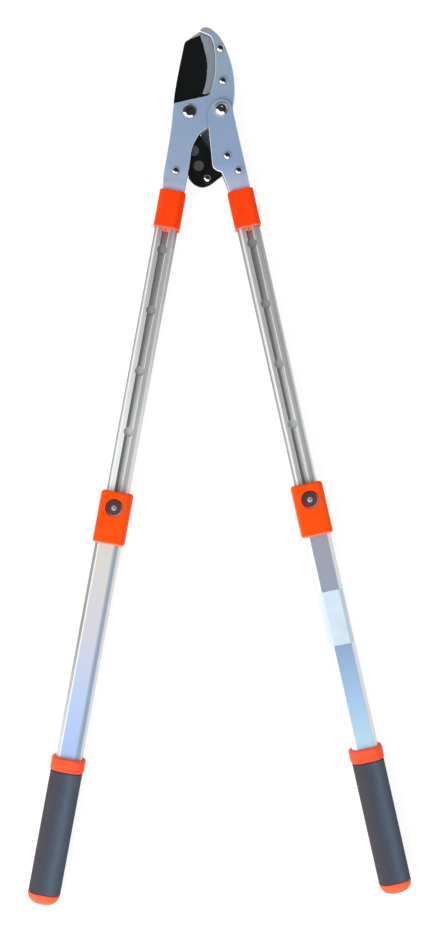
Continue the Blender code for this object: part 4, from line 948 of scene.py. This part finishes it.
def make_pads():
    """Each glide pad fills its hole, its faces a hair below the coat."""
    for node in ("glide_pad_upper", "glide_pad_lower"):
        radius = box_half(node).x + SEAT_ROOM
        half = box_half(node).z - PAD_BELOW
        inner, upper = radius - PAD_RIM[0], half - PAD_RIM[1]
        rings = [(0.0, -half), (inner, -half), (radius, -upper), (radius, upper), (inner, half),
                 (PAD_MARK_R, half), (0.0, half - PAD_MARK_DEEP)]
        turned_piece(node, "_disc", rings, 48, PAD_PLASTIC, "blade")


def painted_plate(node, body):
    """A painted plate whose eased edges carry a painted highlight."""
    return eased_node(node, body, "plate_paint", (PLATE, PLATE_EDGE_HIGHLIGHT), PLATE_EASE, 40.0,
                      steps=1, edge_material=EDGE_HIGHLIGHT)


def make_plates():
    """Hook, arm and link plates, the anvil and the tangs.

    The right arm's hub has its edge painted, and its back plate carries painted shade where the front
    one shades it.
    """
    for side in ("front", "back"):
        painted_plate("hook_plate_" + side, "head_frame")
        arm = painted_plate("right_arm_plate_" + side, "right_arm")
        if side == "back":
            add_finishes(arm, SHADED_COAT)
        for face in arm.data.polygons:
            if side == "front" and face.center.y > HUB_COAT_ABOVE:
                face.material_index = PAINTED
            # painted shade on the back plate's faces that the front plate shades
            elif side == "back" and face.normal.z > FACING_UP:
                face.material_index = SHADED
        eased_node("link_" + side, "link", "link_black", (LINK_COAT,), PLATE_EASE, 40.0)
    eased_node("anvil", "head_frame", "anvil_metal", (ANVIL,), BLADE_EASE, 40.0)
    for side, handle in HANDLES.items():
        own = handle_matrix(side)
        eased_node(side + "_tang", handle["arm"], "tang_steel", (TANG,), SMALL_EASE, 40.0, own)


def round_head(inner, rim=0.22, steepest=45.0, steps=11):
    """A turned head: a short upright rim, then part of a ball in to the share of the radius given."""
    top = math.cos(math.asin(inner * math.sin(math.radians(steepest))))
    low = math.cos(math.radians(steepest))
    out = [(0.93, 0.0), (1.0, 0.04)]
    for i in range(steps + 1):
        share = 1.0 + (inner - 1.0) * i / steps
        tilt = math.asin(share * math.sin(math.radians(steepest)))
        out.append((share, rim + (1.0 - rim) * (math.cos(tilt) - low) / (top - low)))
    return out


# Turned profiles, as (share of the radius, share of the height), bottom first
SCREW_PROFILE = round_head(0.48)
DOME_PROFILE = round_head(0.03, 0.24, 43.0, 14)
FLANGED_PROFILE = [
    (0.97, 0.0), (1.0, 0.03), (1.0, 0.13), (0.98, 0.165), (0.875, 0.17),
    *((0.87 * share, 0.19 + 0.81 * height) for share, height in round_head(0.24, 0.16, 43.0)[2:]),
    (0.18, 0.96), (0.10, 0.90), (0.02, 0.87),
]
DRILL_PROFILE = [(0.02, 0.0), (0.86, 0.30), (0.86, 0.80), (0.02, 0.90)]
NUT_PROFILE = [(0.86, 0.0), (1.01, 0.12), (1.01, 0.88), (0.86, 1.0)]


def head_on_shank(tree, given, profile, shank_sides):
    """A turned head on a plain shank that reaches a little way up into it."""
    head = turned_geometry(tree, profile, given["Sides"], given["Head Radius"], given["Head Height"])
    foot = times(tree, given["Shank Length"], -1.0)
    tall = plus(tree, given["Shank Length"], times(tree, given["Head Height"], SHANK_IN_HEAD))
    return combined(tree, "UNION", head, prism(tree, shank_sides, given["Shank Radius"], tall, foot))


def screw_tree():
    """Round-headed socket screws: a turned head, a drilled hexagon socket and a plain shank."""
    tree, given = new_tree("socket_screws", SMALL_HEAD | {"Shank Length": 0.017})
    solid = head_on_shank(tree, given, SCREW_PROFILE, 24)
    half_flats, deep = given["Socket Half Flats"], given["Socket Depth"]
    corner = maths(tree, "DIVIDE", half_flats, math.cos(math.pi / 6))
    floor = maths(tree, "SUBTRACT", given["Head Height"], deep)
    socket = prism(tree, 6, corner, times(tree, deep, 2.0), floor)
    drilled = lifted(tree, turned_geometry(tree, DRILL_PROFILE, 24, half_flats, deep),
                     maths(tree, "SUBTRACT", floor, DRILL_DEEPER))
    return end_tree(tree, given, combined(tree, "DIFFERENCE", solid, socket, drilled))


def pivot_tree(name, profile):
    """A pivot bolt: a turned head of the given profile on a plain shank."""
    tree, given = new_tree(name, PIVOT_HEAD | {"Shank Length": 0.015})
    return end_tree(tree, given, head_on_shank(tree, given, profile, 40))


def nut_tree():
    """Hexagon nuts: flats met by a turned cone at both faces, with a plain bore."""
    tree, given = new_tree("hexagon_nuts", SMALL_NUT)
    corner = maths(tree, "DIVIDE", given["Half Flats"], math.cos(math.pi / 6))
    blank = turned_geometry(tree, NUT_PROFILE, 60, corner, given["Height"])
    taller = times(tree, given["Height"], 1.4)
    lower = times(tree, given["Height"], -0.2)
    flats = prism(tree, 6, corner, taller, lower)
    bore = prism(tree, 32, given["Bore"], taller, lower)
    return end_tree(tree, given, combined(
        tree, "DIFFERENCE", combined(tree, "INTERSECT", blank, flats), bore))


def add_screws(name, tree, body, nodes, head, finish):
    """Screws of one body and one length, each with its head where its node has it."""
    points = [(*box_centre(node).xy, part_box(node)[1].z - head["Head Height"]) for node in nodes]
    length = points[0][2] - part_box(nodes[0])[0].z
    fasteners(name, tree, points, head | {"Shank Length": length}, finish, body, nodes)


def make_screws():
    tree = screw_tree()
    for body, nodes in SCREWS.items():
        add_screws(body + "_screws", tree, body, nodes, SMALL_HEAD, CHROME)
    for side in HANDLES:
        node = side + "_button_screw"
        add_screws(node + "_turned", tree, side + "_button", [node], BUTTON_HEAD, SATIN_SCREW)


def make_pivots():
    """The plain dome on the blade's pivot and the flanged dome on the main pivot."""
    for node, name, profile, seat in (
            ("blade_pivot_bolt", "plain_pivot_bolt", DOME_PROFILE, "link_front"),
            ("main_pivot_bolt", "flanged_pivot_bolt", FLANGED_PROFILE, "right_arm_plate_front")):
        low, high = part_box(node)
        centre = box_centre(node)
        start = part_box(seat)[1].z + SEAT_ROOM
        sizes = PIVOT_HEAD | {
            "Head Radius": box_half(node).x, "Head Height": high.z - start,
            "Shank Length": start - low.z}
        thing = fasteners(node + "_turned", pivot_tree(name, profile), [(*centre.xy, start)], sizes,
                          CHROME, "head_frame", [node], 30.0)
        add_finishes(thing, FLANGE)
        for face in thing.data.polygons:
            reach = (face.center.xy - centre.xy).length
            if face.normal.z > FACING_UP and reach > FLANGE_FROM * sizes["Head Radius"]:
                face.material_index = len(thing.data.materials) - 1


def make_nuts():
    tree = nut_tree()
    for name, body, sizes, nodes in NUTS:
        points = [(*box_centre(node).xy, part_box(node)[0].z) for node in nodes]
        fasteners(name, tree, points, sizes, ZINC, body, nodes)


def make_washer():
    node = "main_pivot_washer"
    radius, half = box_half(node).x, box_half(node).z
    bore = PIVOT_HEAD["Shank Radius"] + SEAT_ROOM
    inner, upper = radius - WASHER_EASE, half - WASHER_EASE
    rings = [(bore, -half), (inner, -half), (radius, -upper),
             (radius, upper), (inner, half), (bore, half)]
    turned_piece(node, "_turned", rings, 64, ZINC, "head_frame")


# Handles


def make_handle_metal(side):
    """The sleeve, which isn't shifted with the tubes, both tubes and the lock collar."""
    arm, slider = HANDLES[side]["arm"], side + "_slider"
    own = handle_matrix(side)
    at_sleeve = own @ Matrix.Translation((0.0, HANDLES[side]["shift"], 0.0))
    for piece, body, slot, finish, ease, least_angle, own_frame in (
            ("_sleeve", arm, "orange_plastic", SLEEVE_PLASTIC, SLEEVE_EASE, 25.0, at_sleeve),
            ("_inner_tube", arm, "bright_aluminium", BRIGHT_TUBES[side], TUBE_EASE, 30.0, own),
            ("_outer_tube", slider, "satin_aluminium", SATIN_TUBES[side], TUBE_EASE, 30.0, own),
            ("_lock_collar", slider, "orange_plastic", COLLAR_PLASTIC, COLLAR_EASE, 40.0, own)):
        eased_node(side + piece, body, slot, (finish,), ease, least_angle, own_frame)


def make_button(side):
    """The round button: a rim round a shallow dish, with rounded edges, on its stem."""
    node = side + "_lock_button"
    top = box_half(node).z
    rings = [(0.0, -top), (STEM_R - STEM_EASE, -top), (STEM_R, STEM_EASE - top),
             *((radius, top - below) for radius, below in BUTTON_PROFILE)]
    turned_piece(node, "_turned", rings, 64, BUTTON_PLASTIC, side + "_button",
                 35.0, handle_matrix(side))


def make_spring(side):
    """The button's coil, low enough to stay clear of the collar when the button is pressed."""
    node = side + "_button_spring"
    low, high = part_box(node)
    squash = 1.0 - (BUTTON_TRAVEL + SEAT_ROOM / 3) / (high.z - low.z)
    bm = merged_copy(node)
    for vert in bm.verts:
        vert.co.z = high.z - (high.z - vert.co.z) * squash
    thing = object_from(bm, node + "_coil")
    shade(thing.data, 40.0)
    add_finishes(thing, SPRING_WIRE)
    settle(thing, side + "_button", [node])


def make_ring(side):
    """The orange ring above the grip, its outer edges rounded."""
    start, end = RING_START, RING_START + RING_LENGTH
    rounding = []
    for s in range(RING_STEPS + 1):
        angle = math.pi / 2 * s / RING_STEPS
        depth, inset = RING_EASE * (1 - math.cos(angle)), RING_EASE * (1 - math.sin(angle))
        rounding.append((depth, oval(RING_HALF[0] - inset, RING_HALF[1] - inset)))
    seat = tube_outline_as_oval(SEAT_ROOM)
    stations = [(start + depth, section) for depth, section in rounding]
    stations += [(end - depth, section) for depth, section in reversed(rounding)]
    bm = band([*stations, (end, seat), (start, seat)], True)
    thing = object_from(bm, side + "_grip_ring_rounded")
    lay_on_handle(thing, side, GRIP_PLASTIC, [side + "_grip_ring"], 35.0)


def make_grip(side):
    """The grip's ribs follow a cosine along its length and fade into its rounded ends."""
    count = int(GRIP_LENGTH / RIB_PITCH) * RIB_ROWS
    stations = []
    for i in range(count + 1):
        depth = GRIP_LENGTH * i / count
        from_end = min(depth, GRIP_LENGTH - depth)
        fade = min(1.0, from_end / RIB_FADE)
        dip = RIB_DEPTH * fade * 0.5 * (1 - math.cos(2 * math.pi * depth / RIB_PITCH))
        dip += rounding_at(from_end, GRIP_EASE)
        stations.append((GRIP_START + depth, oval(GRIP_HALF[0] - dip, GRIP_HALF[1] - dip)))
    seat = tube_outline_as_oval(SEAT_ROOM)
    bm = band([*stations, (GRIP_START + GRIP_LENGTH, seat), (GRIP_START, seat)], True)
    thing = object_from(bm, side + "_grip_ribbed")
    lay_on_handle(thing, side, GRIP_FOAM, [side + "_grip"], 60.0)


def make_cap(side):
    """The domed end cap and the plug that holds it in the tube."""
    plug = tube_outline_as_oval(-CAP_PLUG_INSET)
    stations = [
        (CAP_START - CAP_PLUG, plug), (CAP_START, plug),
        (CAP_START, oval(CAP_HALF[0] - CAP_LIP, CAP_HALF[1] - CAP_LIP)),
        (CAP_START + CAP_LIP, oval(*CAP_HALF)),
    ]
    for s in range(1, CAP_STEPS + 1):
        angle = math.pi / 2 * (s / CAP_STEPS) ** CAP_CROWDING
        width = max(math.cos(angle), 0.0) ** CAP_FULLNESS
        if width >= CAP_LEAST:
            depth = CAP_START + CAP_LENGTH * math.sin(angle)
            stations.append((depth, oval(CAP_HALF[0] * width, CAP_HALF[1] * width)))
    thing = object_from(band(stations, False), side + "_end_cap_domed")
    lay_on_handle(thing, side, CAP_PLASTIC, [side + "_end_cap"], 50.0)


def make_label():
    """The bare paper label that wraps over the front of the right outer tube."""
    _, (side_x, side_z), (front_x, front_z), *_ = tube_outline(LABEL_LIFT)
    fall = (front_z - side_z) / (side_x - front_x)
    bm = bmesh.new()
    rows = []
    for s in range(LABEL_ROWS + 1):
        down = LABEL_LENGTH * s / LABEL_ROWS
        half = LABEL_HALF_WIDTH - rounding_at(min(down, LABEL_LENGTH - down), LABEL_CORNER)
        row = []
        for i in range(LABEL_COLUMNS + 1):
            x = half * (2 * i / LABEL_COLUMNS - 1)
            z = front_z - max(abs(x) - front_x, 0.0) * fall
            row.append(bm.verts.new((x, -LABEL_START - down, z)))
        rows.append(row)
    for low, high in zip(rows, rows[1:]):
        for i in range(LABEL_COLUMNS):
            bm.faces.new((low[i], high[i], high[i + 1], low[i + 1]))
    bmesh.ops.recalc_face_normals(bm, faces=bm.faces)
    thing = object_from(bm, "right_tube_label")
    solid = thing.modifiers.new("paper", "SOLIDIFY")
    solid.thickness = LABEL_THICK
    solid.offset = 1.0
    made_plain(thing)
    lay_on_handle(thing, "right", LABEL, [], 30.0)


def finish_hidden():
    """CAD pieces that stay as they are, seen only through gaps, get their finishes."""
    kept = {
        "main_pivot_spacer": ZINC, "link_pivot_bush": ZINC,
        "left_guide_bush": BUSH_PLASTIC, "right_guide_bush": BUSH_PLASTIC,
    }
    for node, finish in kept.items():
        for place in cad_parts[node].material_slots:
            place.material = finish


# Studio


def floor_finish():
    """A plain white floor that keeps the lopper's soft shadow, and glows only for the camera."""
    material = bpy.data.materials.new("white_floor")
    material.use_nodes = True
    tree = material.node_tree
    tree.nodes.clear()
    grey, strength = FLOOR_SEEN
    matt = add_node(tree, "ShaderNodeBsdfDiffuse", {"Color": (*[FLOOR_GREY] * 3, 1.0)})
    pale = add_node(tree, "ShaderNodeBsdfDiffuse", {"Color": (*[grey] * 3, 1.0)})
    glow = add_node(tree, "ShaderNodeEmission", {"Color": (1.0, 1.0, 1.0, 1.0), "Strength": strength})
    both = add_node(tree, "ShaderNodeAddShader", {0: pale.outputs[0], 1: glow.outputs[0]})
    path = tree.nodes.new("ShaderNodeLightPath").outputs
    chosen = add_node(tree, "ShaderNodeMixShader", {
        0: path["Is Camera Ray"], 1: matt.outputs[0], 2: both.outputs[0]})
    add_node(tree, "ShaderNodeOutputMaterial", {"Surface": chosen.outputs[0]})
    return material


def make_floor():
    bm = bmesh.new()
    bm.faces.new([
        bm.verts.new((x * FLOOR_HALF + VIEW_CENTRE[0], y * FLOOR_HALF + VIEW_CENTRE[1], 0.0))
        for x, y in ((-1, -1), (1, -1), (1, 1), (-1, 1))])
    floor = object_from(bm, "studio_floor")
    add_finishes(floor, floor_finish())


def make_world():
    """Soft surroundings, a little brighter on one side.

    What shines mirrors a dark ceiling and a low bright wall on that side, and the camera sees white.
    """
    world = bpy.data.worlds.new("studio")
    world.use_nodes = True
    bpy.context.scene.world = world
    tree = world.node_tree
    x, y, z = split(tree, add_node(tree, "ShaderNodeTexCoord").outputs["Generated"])
    towards = plus(tree, times(tree, x, BRIGHT_SIDE[0]), times(tree, y, BRIGHT_SIDE[1]))
    soft = spread(tree, towards, *SURROUNDINGS, -1.0, 1.0)
    wall = times(tree, rise(tree, towards, *WALL_ROUND), rise(tree, z, *WALL_TOP))
    mirrored = plus(tree, spread(tree, z, *CEILING), times(tree, wall, WALL_STRENGTH))
    path = tree.nodes.new("ShaderNodeLightPath").outputs
    level = add_node(tree, "ShaderNodeMix", {
        0: path["Is Glossy Ray"], 2: soft, 3: mirrored}, data_type="FLOAT").outputs[0]
    seen = add_node(tree, "ShaderNodeMix", {
        0: path["Is Camera Ray"], 2: level, 3: 1.0}, data_type="FLOAT").outputs[0]
    background = tree.nodes["Background"]
    background.inputs["Color"].default_value = (0.97, 0.985, 1.0, 1.0)
    tree.links.new(seen, background.inputs["Strength"])


def make_softbox():
    light = bpy.data.lights.new("near_softbox", "AREA")
    light.shape = "RECTANGLE"
    light.size = light.size_y = SOFTBOX_SIZE
    light.energy = SOFTBOX_POWER
    light.color = (1.0, 0.99, 0.98)
    thing = add_object("near_softbox", light)
    thing.location = SOFTBOX_PLACE
    towards = Vector((*VIEW_CENTRE, 0.0)) - Vector(SOFTBOX_PLACE)
    thing.rotation_euler = towards.to_track_quat("-Z", "Y").to_euler()
    thing.visible_glossy = False


def make_camera():
    camera = bpy.data.cameras.new("photo_view")
    camera.lens = VIEW_LENS
    camera.sensor_fit = "VERTICAL"
    camera.sensor_height = SENSOR
    camera.clip_end = VIEW_FAR
    thing = add_object("photo_view", camera)
    thing.location = (*VIEW_CENTRE, FRONT_Z + VIEW_HEIGHT * VIEW_LENS / SENSOR)
    bpy.context.scene.camera = thing


def main():
    make_camera()
    make_world()
    make_softbox()
    make_floor()
    make_plates()
    make_blade()
    make_pads()
    make_screws()
    make_pivots()
    make_nuts()
    make_washer()
    for side in HANDLES:
        make_handle_metal(side)
        make_button(side)
        make_spring(side)
        make_ring(side)
        make_grip(side)
        make_cap(side)
    make_label()
    finish_hidden()
    bpy.context.scene.view_settings.view_transform = "Standard"


main()
